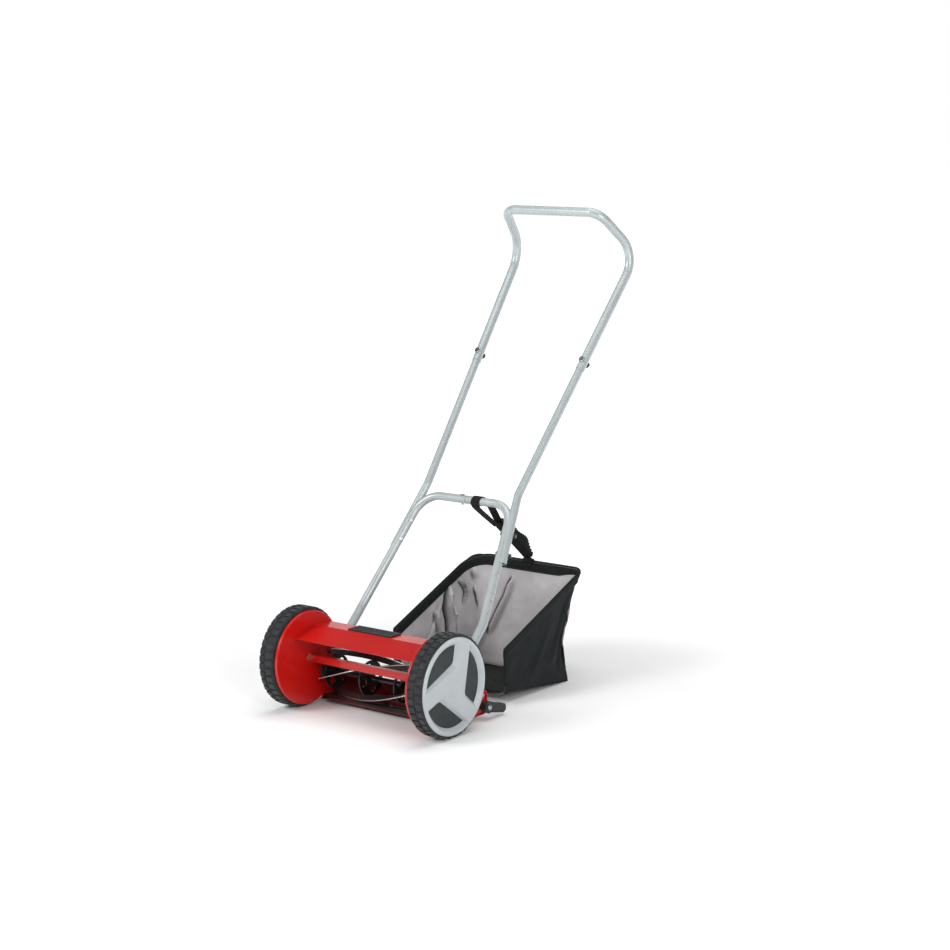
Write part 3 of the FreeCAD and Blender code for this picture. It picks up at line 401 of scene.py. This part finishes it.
def tube_paint():
    """Silver grey powder coat with a little metal flake in it."""
    tube = Finish("tube_paint", {"Metallic": 0.25, "Coat Weight": 0.15, "Coat Roughness": 0.12})
    base = tube.ramp(tube.noise(12, 4), [(0.35, (0.40, 0.442, 0.448)), (0.65, (0.43, 0.472, 0.478))])
    flake = tube.spread(tube.noise(2600, 1), 0.62, 0.72, 0, 0.25)
    tube.feed(tube.shader.inputs["Base Color"], tube.blend(flake, base, (0.54, 0.59, 0.60)))
    tube.rough(tube.noise(90, 4), 0.26, 0.38)
    tube.bump(tube.noise(650, 2), 0.02 * MM, 0.4)
    return tube.material


def coated_cloth(name, light, dark, pitch, line_colour, line_pitch, painted_crease_shade):
    """Woven bag cloth: weave relief, crossing reinforcement threads, patchy tone, and painted shade that
    darkens it in its creases.
    """
    cloth = Finish(name, {"Roughness": 0.75, "Specular IOR Level": 0.15})
    shade = cloth.ramp(cloth.noise(22, 5), [(0.3, dark), (0.7, light)])
    threads = cloth.maths("MULTIPLY", cloth.grid(line_pitch, 0.13), 0.55)
    woven = cloth.blend(threads, shade, line_colour)
    # Painted shade: where ambient occlusion finds the cloth hemmed in by its folds, the base colour turns to
    # the dark crease colour.
    open_sky = cloth.add("ShaderNodeAmbientOcclusion", samples=6)
    open_sky.inputs["Distance"].default_value = 14 * MM
    crease_shade_mask = cloth.spread(open_sky.outputs["AO"], 0.42, 0.90, 1, 0)
    cloth.feed(cloth.shader.inputs["Base Color"], cloth.blend(crease_shade_mask, woven, painted_crease_shade))
    cloth.bump(cloth.noise(55, 4), 1.2 * MM, 0.35)
    cloth.bump(cloth.weave(pitch), 0.12 * MM, 0.7)
    return cloth.material


def bag_inside():
    # The last colour is the painted shade in the creases.
    return coated_cloth("bag_inside", (0.62, 0.60, 0.615), (0.50, 0.48, 0.495), 1.0 * MM,
                        (0.26, 0.25, 0.26), 2.6 * MM, (0.03, 0.03, 0.032))


def bag_outside():
    # The last colour is the painted shade in the creases.
    return coated_cloth("bag_outside", (0.018, 0.021, 0.023), (0.010, 0.013, 0.014), 1.0 * MM,
                        (0.040, 0.044, 0.047), 2.6 * MM, (0.005, 0.006, 0.006))


def bag_floor_cloth():
    # The last colour is the painted shade in the creases.
    return coated_cloth("bag_floor_cloth", (0.018, 0.020, 0.020), (0.010, 0.012, 0.012), 1.4 * MM,
                        (0.024, 0.026, 0.026), 5 * MM, (0.005, 0.006, 0.006))


def webbing(name="webbing", light=(0.018, 0.019, 0.019), dark=(0.008, 0.009, 0.009)):
    """Ribbed polyester tape."""
    tape = Finish(name, {"Roughness": 0.8, "Specular IOR Level": 0.2})
    tape.colour(tape.noise(90, 4), [(0.3, dark), (0.7, light)])
    tape.bump(tape.weave(1.6 * MM), 0.25 * MM, 0.9)
    return tape.material


def stitch_thread():
    thread = Finish("stitch_thread", {"Roughness": 0.7, "Sheen Weight": 0.3})
    thread.colour(thread.noise(900, 2), [(0.3, (0.05, 0.055, 0.06)), (0.7, (0.10, 0.105, 0.11))])
    thread.bump(thread.noise(3000, 2), 0.1 * MM, 0.5)
    return thread.material


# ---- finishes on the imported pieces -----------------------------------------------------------
SLOT_FINISHES = {
    "red_paint": red_paint,
    # painted shade: a darkened copy of the red paint
    "red_paint_dark": red_paint_dark,
    "ground_steel": ground_steel,
    "zinc": zinc,
    "gear_steel": gear_steel,
    "bearing_nylon": bearing_nylon,
    "tyre_black": tyre_black,
    "rim_plastic": rim_plastic,
    "cap_grey": cap_grey,
    "insert_plastic": insert_plastic,
    "black_paint": black_paint,
    "black_plastic": black_plastic,
    "tube_paint": tube_paint,
    "bag_cloth": bag_outside,
    "wire_black": wire_black,
    "webbing": webbing,
}
FINISH = {slot: make() for slot, make in SLOT_FINISHES.items()}


def give(obj, material):
    obj.data.materials.clear()
    obj.data.materials.append(material)


def round_edges(obj, width, segments=2):
    """Small rounded edges all over a piece, with shading that keeps its faces flat."""
    obj.data.polygons.foreach_set("use_smooth", [True] * len(obj.data.polygons))
    weld = obj.modifiers.new("weld", "WELD")
    weld.merge_threshold = 0.002 * MM
    flat = obj.modifiers.new("flat", "DECIMATE")
    flat.decimate_type = "DISSOLVE"
    flat.angle_limit = math.radians(0.6)
    bevel = obj.modifiers.new("bevel", "BEVEL")
    bevel.width = width
    bevel.segments = segments
    bevel.limit_method = "ANGLE"
    bevel.angle_limit = math.radians(32)
    even = obj.modifiers.new("even", "WEIGHTED_NORMAL")
    even.weight = 80


EDGE_WIDTHS = {
    "tyre": 0.7, "hub_cap": 0.6, "hub_inserts": 0.3, "side_plate": 0.35, "cover": 0.3, "cover_insert": 0.4,
    "tie_bar": 0.3, "bedknife_carrier": 0.3, "height_lever": 1.0, "reel_blade": 0.15, "reel_spiders": 0.3,
    "lap_bolts": 0.9, "joint_bolts": 0.9, "lap_nuts": 0.8, "joint_nuts": 0.8, "crossbar_screw": 0.8,
    "handle_pivot_bolts": 0.6, "handle_pivot_nuts": 0.5, "lift_screws": 0.5, "roller_arm": 0.4,
    "cover_tabs": 0.3, "wheel_rim": 0.4, "wheel_axle": 0.5, "frame_bolts": 0.4, "bedknife_screws": 0.3,
    "bedknife_blade": 0.2, "bag_hook_pins": 0.5, "handle_stop_pins": 0.5, "reel_bearing": 0.5,
    "wheel_bush": 0.4, "roller_tube": 0.6, "roller_caps": 0.4, "lower_handle": 0.4, "middle_tube": 0.4,
    "upper_handle": 0.3,
}


def finish_packed_pieces():
    for part in frame["record"]["subparts"]:
        give(NODES[part["node"]], FINISH[part["material_slot"]])
    blade = blade_finish()
    give(NODES["reel_shaft"], FINISH["black_paint"])
    for name, obj in NODES.items():
        if name.startswith("reel_blade"):
            give(obj, blade)
        for start, width in EDGE_WIDTHS.items():
            if name == start or name.startswith(start + "_"):
                round_edges(obj, width * MM)
                break


# ---- mesh helpers ----------------------------------------------------------------------------
def make_piece(name, points, faces, materials, body, uvs=None):
    """New smooth mesh piece that rides on a body; uvs holds one (u, v) per point."""
    mesh = bpy.data.meshes.new(name)
    mesh.from_pydata([tuple(p) for p in points], [], faces)
    mesh.polygons.foreach_set("use_smooth", [True] * len(mesh.polygons))
    if uvs:
        layer = mesh.uv_layers.new(name="cloth")
        for loop in mesh.loops:
            layer.data[loop.index].uv = uvs[loop.vertex_index]
    for material in materials:
        mesh.materials.append(material)
    obj = bpy.data.objects.new(name, mesh)
    bpy.context.scene.collection.objects.link(obj)
    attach(obj, body)
    return obj


def grid_faces(rows, columns, wrap=False):
    """Quads between rows of points; wrap joins each row's end to its start."""
    faces = []
    for i in range(rows - 1):
        for j in range(columns if wrap else columns - 1):
            k = (j + 1) % columns
            faces.append((i * columns + j, i * columns + k, (i + 1) * columns + k, (i + 1) * columns + j))
    return faces


def rounded_line(points, radii, runs, turns):
    """Points along straight runs joined by tangent arcs, the same number for any corners."""
    line = []
    start = points[0]
    for i in range(1, len(points) - 1):
        before = (points[i - 1] - points[i]).normalized()
        after = (points[i + 1] - points[i]).normalized()
        half = before.angle(after) / 2
        radius = radii[i - 1]
        first = points[i] + before * (radius / math.tan(half))
        last = points[i] + after * (radius / math.tan(half))
        centre = points[i] + (before + after).normalized() * (radius / math.sin(half))
        line += [start.lerp(first, k / runs[i - 1]) for k in range(runs[i - 1])]
        inward, outward = (first - centre).normalized(), (last - centre).normalized()
        line += [centre + inward.slerp(outward, k / turns) * radius for k in range(turns)]
        start = last
    line += [start.lerp(points[-1], k / runs[-1]) for k in range(runs[-1] + 1)]
    return line


def lengths_along(points):
    """Distance along a line of points to each of them."""
    total = [0.0]
    for a, b in zip(points, points[1:]):
        total.append(total[-1] + (b - a).length)
    return total


def smooth_line(points, steps):
    """Catmull-Rom curve through the points, with steps samples in each span."""
    line = []
    for i in range(len(points) - 1):
        a = points[max(i - 1, 0)]
        b, c = points[i], points[i + 1]
        d = points[min(i + 2, len(points) - 1)]
        for k in range(steps):
            t = k / steps
            line.append(0.5 * ((2 * b) + (c - a) * t + (2 * a - 5 * b + 4 * c - d) * t * t
                               + (3 * b - a - 3 * c + d) * t ** 3))
    line.append(points[-1].copy())
    return line


# ---- grass bag -------------------------------------------------------------------------------
BAG_HALF = 0.146
BAG_FRONT_LOW = (0.254, 0.024)      # y, z
BAG_BACK_LOW = (0.486, 0.0006)
BAG_BACK_TOP = (0.531, 0.238)
BAG_FRONT_TOP = (0.253, 0.118)
RIM_CORNERS = (0.050, 0.018)        # radii of the left and right back corners
FOOT_CORNERS = (0.012, 0.006)
RUNS = (110, 130, 100)              # wall stations on the left side, the back and the right side
TURNS = 20                          # and in each corner
WALL_ROWS = 96
CLOTH_T = 0.9 * MM
FLOOR_T = 1.2 * MM
HEM_DEPTH = 0.021
HEM_T = 0.8 * MM


def bag_outline(front, back, half, radii):
    """U-shaped line from the left front corner round the back to the right front corner."""
    corners = [Vector((-half, *front)), Vector((-half, *back)), Vector((half, *back)), Vector((half, *front))]
    return rounded_line(corners, radii, RUNS, TURNS)


RIM = bag_outline(BAG_FRONT_TOP, BAG_BACK_TOP, BAG_HALF, RIM_CORNERS)
FOOT = bag_outline(BAG_FRONT_LOW, BAG_BACK_LOW, BAG_HALF, FOOT_CORNERS)
RIM_LENGTH = lengths_along(RIM)


def outward_at(line, i):
    """Level direction out of the bag at a station."""
    a = line[max(i - 1, 0)]
    b = line[min(i + 1, len(line) - 1)]
    return Vector((a.y - b.y, b.x - a.x, 0)).normalized()


LEFT_BACK = RIM_LENGTH[RUNS[0] + TURNS // 2]
RIGHT_BACK = RIM_LENGTH[RUNS[0] + TURNS + RUNS[1] + TURNS // 2]

# Creases in the slack wall: the back corner they are measured from, places down the crease as
# (millimetres along the rim, share of the height), then half width and depth in millimetres.
FOLDS = [
    (LEFT_BACK, [(-85, 0.93), (-96, 0.84), (-99, 0.70), (-90, 0.53), (-84, 0.28)], 4.5, 22.0),
    (LEFT_BACK, [(-64, 0.58), (-77, 0.47), (-68, 0.33)], 3.5, 13.0),
    (LEFT_BACK, [(-50, 0.88), (-27, 0.75), (-22, 0.69), (-31, 0.62)], 3.0, 10.0),
    (LEFT_BACK, [(-10, 0.95), (8, 0.80)], 4.0, 9.0),
    (LEFT_BACK, [(8, 0.71), (38, 0.53)], 3.0, 7.0),
    (LEFT_BACK, [(108, 0.82), (102, 0.68), (90, 0.52), (78, 0.32)], 3.5, 15.0),
    (LEFT_BACK, [(70, 0.35), (50, 0.12)], 3.5, 12.0),
    (LEFT_BACK, [(-140, 0.72), (-118, 0.34)], 5.0, 8.0),
    (LEFT_BACK, [(-165, 0.42), (-190, 0.16)], 5.0, 4.0),
    (LEFT_BACK, [(-120, 0.78), (-150, 0.46)], 6.0, 3.0),
    (RIGHT_BACK, [(-40, 0.80), (-22, 0.48)], 5.0, 3.0),
    (RIGHT_BACK, [(40, 0.85), (110, 0.25)], 10.0, 4.0),
    (RIGHT_BACK, [(20, 0.70), (60, 0.15)], 9.0, 4.0),
    (RIGHT_BACK, [(130, 0.70), (190, 0.20)], 9.0, 3.0),
]
HEM_FROM = 0.91                     # share of the height at which the hem begins


def along_line(line, height):
    """Place along a crease's line at a height."""
    for (s0, t0), (s1, t1) in zip(line, line[1:]):
        if t0 >= height >= t1:
            return s0 + (s1 - s0) * (t0 - height) / (t0 - t1)
    return line[0][0] if height > line[0][1] else line[-1][0]


def fold_depth(along, height):
    """How far the creases pull a point of the wall inwards: a ridge with a hollow beside it."""
    depth = 0.0
    for corner, line, half_width, deep in FOLDS:
        top, low = line[0][1] + 0.03, line[-1][1] - 0.05
        if not low < height < top:
            continue
        fade = min(1.0, (top - height) / 0.08, (height - low) / 0.10)
        offset = (along - corner - along_line(line, height) * MM) / (half_width * MM)
        if abs(offset) < 5:
            depth += deep * MM * fade * (math.exp(-offset ** 2) - 0.7 * math.exp(-(offset + 1.7) ** 2))
    return depth


def wrinkles(along, height):
    """Fine unevenness of the slack cloth."""
    place = Vector((along * 26, height * 5 + along * 5, 0.7))
    return 2.2 * MM * noise.noise(place) + 0.7 * MM * noise.noise(place * 3.1)


KINK_DEPTH = 0.026
KINK_HEIGHT = 0.36                  # share of the wall's height at which the back corners give way


def kink(along, height):
    """The slack back corners give way inwards below the middle of their height."""
    if height < KINK_HEIGHT:
        tent = height / KINK_HEIGHT
    else:
        tent = (1 - height) / (1 - KINK_HEIGHT)
    right = math.exp(-((along - RIGHT_BACK) / 0.055) ** 2)
    left = math.exp(-((along - LEFT_BACK) / 0.050) ** 2)
    return KINK_DEPTH * tent ** 1.15 * (right + 0.35 * left)


def wall_points():
    rows = []
    for row in range(WALL_ROWS + 1):
        height = row / WALL_ROWS
        calm = min(1.0, max(0.0, (HEM_FROM - height) / 0.08)) * min(1.0, height / 0.06)
        line = []
        for i, (low, high) in enumerate(zip(FOOT, RIM)):
            point = low.lerp(high, height)
            along = RIM_LENGTH[i]
            pull = kink(along, height) + calm * (fold_depth(along, height) + wrinkles(along, height))
            line.append(point - outward_at(RIM, i) * pull)
        rows.append(line)
    return rows


def make_bag_wall():
    rows = wall_points()
    points = [p for line in rows for p in line]
    heights = lengths_along([line[len(RIM) // 2] for line in rows])
    uvs = [(RIM_LENGTH[i], heights[row]) for row in range(len(rows)) for i in range(len(RIM))]
    faces = grid_faces(len(rows), len(RIM))
    wall = make_piece("bag_wall", points, faces, [bag_inside(), FINISH["bag_cloth"]], "bag", uvs)
    thick = wall.modifiers.new("cloth", "SOLIDIFY")
    thick.thickness = CLOTH_T
    thick.offset = 1
    thick.material_offset = 1
    thick.material_offset_rim = 1
    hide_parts("bag_fabric")
    return wall


def make_bag_floor():
    """Stiffened floor that the wall is sewn to."""
    rows = []
    across = 40
    for i in range(len(FOOT) // 2 + 1):
        left, right = FOOT[i], FOOT[len(FOOT) - 1 - i]
        line = []
        for k in range(across + 1):
            share = k / across
            ripple = math.sin(math.pi * k / across) * math.sin(9 * k / across + i / 7) ** 2
            point = left.lerp(right, share)
            point.z += 0.4 * MM + 2.0 * MM * ripple
            line.append(point)
        rows.append(line)
    points = [p for line in rows for p in line]
    uvs = [(p.x, p.y) for p in points]
    faces = grid_faces(len(rows), across + 1)
    floor = make_piece("bag_floor", points, faces, [bag_floor_cloth()], "bag", uvs)
    thick = floor.modifiers.new("board", "SOLIDIFY")
    thick.thickness = FLOOR_T
    thick.offset = 0
    return floor


# Section of the hem: (outwards from the cloth, up from the wire's centre) in millimetres.
HEM_SECTION = [
    (-1.6, -HEM_DEPTH / MM), (-2.0, -14), (-1.9, -7), (-1.5, -2.5), (0.2, 1.6), (2.7, 3.4),
    (5.1, 1.8), (6.0, -1.5), (5.0, -6), (3.0, -12), (1.8, -17), (1.3, -HEM_DEPTH / MM)]


def sweep_section(section, line, outwards, upwards):
    """Rows of points of a section carried along a line."""
    rows = []
    for point, out, up in zip(line, outwards, upwards):
        rows.append([point + out * (a * MM) + up * (b * MM) for a, b in section])
    return rows


def rows_to_piece(name, rows, materials, body, thickness):
    points = [p for line in rows for p in line]
    along = lengths_along([line[0] for line in rows])
    across = lengths_along(rows[0])
    uvs = [(along[i], across[j]) for i in range(len(rows)) for j in range(len(rows[0]))]
    piece = make_piece(name, points, grid_faces(len(rows), len(rows[0])), materials, body, uvs)
    thick = piece.modifiers.new("cloth", "SOLIDIFY")
    thick.thickness = thickness
    thick.offset = 0
    return piece


HEM_TAPE = webbing("hem_tape", (0.016, 0.019, 0.020), (0.009, 0.011, 0.011))
BINDING_STEPS = 16


def make_hem():
    """Tape folded over the wire all round the rim."""
    count = len(RIM)
    outwards = [outward_at(RIM, i) for i in range(count)]
    upwards = [(RIM[i] - FOOT[i]).normalized() for i in range(count)]
    rows = sweep_section(HEM_SECTION, RIM, outwards, upwards)
    hem = rows_to_piece("bag_hem", rows, [HEM_TAPE], "bag", HEM_T)
    return hem


def make_front_binding(side):
    """Tape folded over the upright wire at the front edge of a side wall."""
    top = Vector((side * BAG_HALF, *BAG_FRONT_TOP))
    low = Vector((side * BAG_HALF, *BAG_FRONT_LOW))
    line = [top.lerp(low, k / BINDING_STEPS) for k in range(BINDING_STEPS + 1)]
    out = Vector((side, 0, 0))
    forward = Vector((0, -1, 0))
    section = [(a, b * 0.7 if b < 0 else b) for a, b in HEM_SECTION]
    rows = sweep_section(section, line, [out] * len(line), [forward] * len(line))
    name = "bag_binding_right" if side > 0 else "bag_binding_left"
    binding = rows_to_piece(name, rows, [HEM_TAPE], "bag", HEM_T)
    return binding


# The strap's patch over the rim, as (outwards, up) in millimetres, and its rivet's (height, radius).
PATCH_LINE = [(-1.0, -17), (-3.2, -8), (-3.4, 1), (-1.4, 5.4), (2.7, 6.2), (6.4, 4.6), (7.4, -1), (6.2, -9)]
RIVET_PROFILE = [(-0.4, 2.4), (0.6, 2.4), (1.3, 1.8), (1.6, 0.8)]
RIVET_SIDES = 20
RIVET_PLACE = Vector((7.0, -4.2, -6.0))     # of its base, from the rim's middle, in millimetres


def cap_ends(faces, first, rings, sides):
    """Closes both ends of a tube of rings whose points begin at first."""
    faces.append(tuple(first + k for k in range(sides - 1, -1, -1)))
    faces.append(tuple(first + (rings - 1) * sides + k for k in range(sides)))


def make_strap_patch():
    """Doubled tape over the middle of the back rim, where the strap is riveted to the bag."""
    back = Vector((STRAP_END_X, *BAG_BACK_TOP))
    stations = [(back + Vector((0, out * MM, up * MM)), (1, 0, 0)) for out, up in PATCH_LINE]
    patch = ribbon("strap_patch", stations, FINISH["webbing"], "bag", width=STRAP_W * 1.15)
    points = []
    for height, radius in RIVET_PROFILE:
        for k in range(RIVET_SIDES):
            turn = 2 * math.pi * k / RIVET_SIDES
            spoke = Vector((radius * math.cos(turn), -height, radius * math.sin(turn)))
            points.append(back + (RIVET_PLACE + spoke) * MM)
    faces = grid_faces(len(RIVET_PROFILE), RIVET_SIDES, wrap=True)
    cap_ends(faces, 0, len(RIVET_PROFILE), RIVET_SIDES)
    rivet = make_piece("strap_rivet", points, faces, [FINISH["black_paint"]], "bag")
    return [patch, rivet]


STITCH_PITCH = 4.2 * MM
STITCH_LENGTH = 2.8 * MM
STITCH_R = 0.35 * MM
STITCH_RINGS = [(-0.5, 0.4), (-0.25, 1.0), (0.25, 1.0), (0.5, 0.4)]     # share of the length, of the radius
STITCH_SIDES = 6
STITCH_UP = -HEM_DEPTH + 2.5 * MM
STITCH_SIDES_OUT = (-2.5 * MM, 2.2 * MM)    # of the inner and the outer row, from the cloth


def stitch_points(middle, along, upward, outward):
    """Rings of one small thread barrel."""
    points = []
    for reach, swell in STITCH_RINGS:
        for k in range(STITCH_SIDES):
            turn = 2 * math.pi * k / STITCH_SIDES
            points.append(middle + along * (STITCH_LENGTH * reach)
                          + upward * (STITCH_R * swell * math.cos(turn))
                          + outward * (STITCH_R * swell * math.sin(turn)))
    return points


def make_stitches():
    """Lock stitches along the lower edge of the hem, inside and outside."""
    points, faces = [], []
    for out in STITCH_SIDES_OUT:
        travelled = 0.0
        for i in range(1, len(RIM) - 1):
            travelled += (RIM[i] - RIM[i - 1]).length
            if travelled < STITCH_PITCH:
                continue
            travelled = 0.0
            along = (RIM[i + 1] - RIM[i - 1]).normalized()
            upward = (RIM[i] - FOOT[i]).normalized()
            outward = outward_at(RIM, i)
            first = len(points)
            points += stitch_points(RIM[i] + outward * out + upward * STITCH_UP, along, upward, outward)
            for face in grid_faces(len(STITCH_RINGS), STITCH_SIDES, wrap=True):
                faces.append(tuple(first + v for v in face))
            cap_ends(faces, first, len(STITCH_RINGS), STITCH_SIDES)
    stitches = make_piece("bag_stitches", points, faces, [stitch_thread()], "bag")
    return stitches


def make_bag():
    wall = make_bag_wall()
    floor = make_bag_floor()
    hem = make_hem()
    trims = [hem, make_stitches(), make_front_binding(1), make_front_binding(-1), *make_strap_patch()]


# ---- strap -----------------------------------------------------------------------------------
CROSSBAR = Vector((0, 0.321, 0.407))
STRAP_W = 0.0215
STRAP_T = 1.6 * MM
STRAP_X = 0.022
STRAP_END_X = 0.003
LOOP_R = 10.4 * MM                  # of the tape round the crossbar
MEET_SHARE = 0.42                   # of the way down, where the loop's two runs meet
GATHER_STATIONS = 41


def ribbon(name, stations, material, body, width=STRAP_W, thickness=STRAP_T, steps=8):
    """Flat tape through stations of (centre, direction of its width)."""
    line = smooth_line([Vector(p) for p, _ in stations], steps)
    widths = smooth_line([Vector(w).normalized() for _, w in stations], steps)
    rows = []
    for centre, across in zip(line, widths):
        across = across.normalized()
        rows.append([centre + across * (width * (k / 6 - 0.5)) for k in range(7)])
    tape = rows_to_piece(name, rows, [material], body, thickness)
    bevel = tape.modifiers.new("soft_edges", "BEVEL")
    bevel.width = thickness * 0.3
    bevel.segments = 2
    bevel.limit_method = "ANGLE"
    bevel.angle_limit = math.radians(40)
    return tape


def make_strap():
    """Tape that loops round the crossbar and runs down, gathered, to the rim of the bag."""
    tape = FINISH["webbing"]
    x_axis = (1, 0, 0)
    rim = Vector((STRAP_END_X, BAG_BACK_TOP[0], BAG_BACK_TOP[1] + 0.008))
    top = CROSSBAR + Vector((STRAP_X, 0, 0))
    down = (rim - top).normalized()
    meet = top.lerp(rim, MEET_SHARE)
    lift = Vector((0, -down.z, down.y)).normalized()
    stations = [(meet - lift * 3 * MM, x_axis), (top - lift * LOOP_R + down * 14 * MM, x_axis)]
    for k in range(7):
        turn = math.radians(-60 + 50 * k)
        drift = Vector((0.0018 * k, 0, 0))
        round_bar = lift * (LOOP_R * math.cos(turn)) + down * (LOOP_R * math.sin(turn))
        stations.append((top + drift - round_bar, x_axis))
    stations.append((top + Vector((0.015, 0, 0)) + lift * (LOOP_R + 2 * MM) + down * 18 * MM, x_axis))
    stations.append((meet + lift * 6 * MM, x_axis))
    loop = ribbon("strap_loop", stations, tape, "strap")
    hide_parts("bag_strap")
    stations = [(meet - down * 16 * MM, x_axis), (meet.lerp(rim, 0.5), x_axis), (rim, x_axis)]
    ribbon("strap_main", stations, tape, "strap")
    make_gathers(meet - down * 2 * MM, rim - down * 4 * MM, down, lift)


def make_gathers(start, end, down, lift):
    """Slack tape pushed up into short folds along the strap."""
    stations = []
    for k in range(GATHER_STATIONS):
        share = k / (GATHER_STATIONS - 1)
        swell = math.sin(math.pi * (0.16 + 0.74 * share)) ** 0.7
        high = (2.5 + (23 + 4 * math.sin(11 * share)) * (k % 2) * swell) * MM
        sway = 2.5 * MM * math.sin(13 * share)
        stations.append((start.lerp(end, share) + down * sway + lift * high, (1, 0, 0)))
    ribbon("strap_gathers", stations, FINISH["webbing"], "strap", width=STRAP_W * 1.1, thickness=2.4 * MM)


make_camera()
make_floor()
make_world()
make_lights()
finish_packed_pieces()
make_bag()
make_strap()
bpy.context.scene.view_settings.view_transform = "Standard"
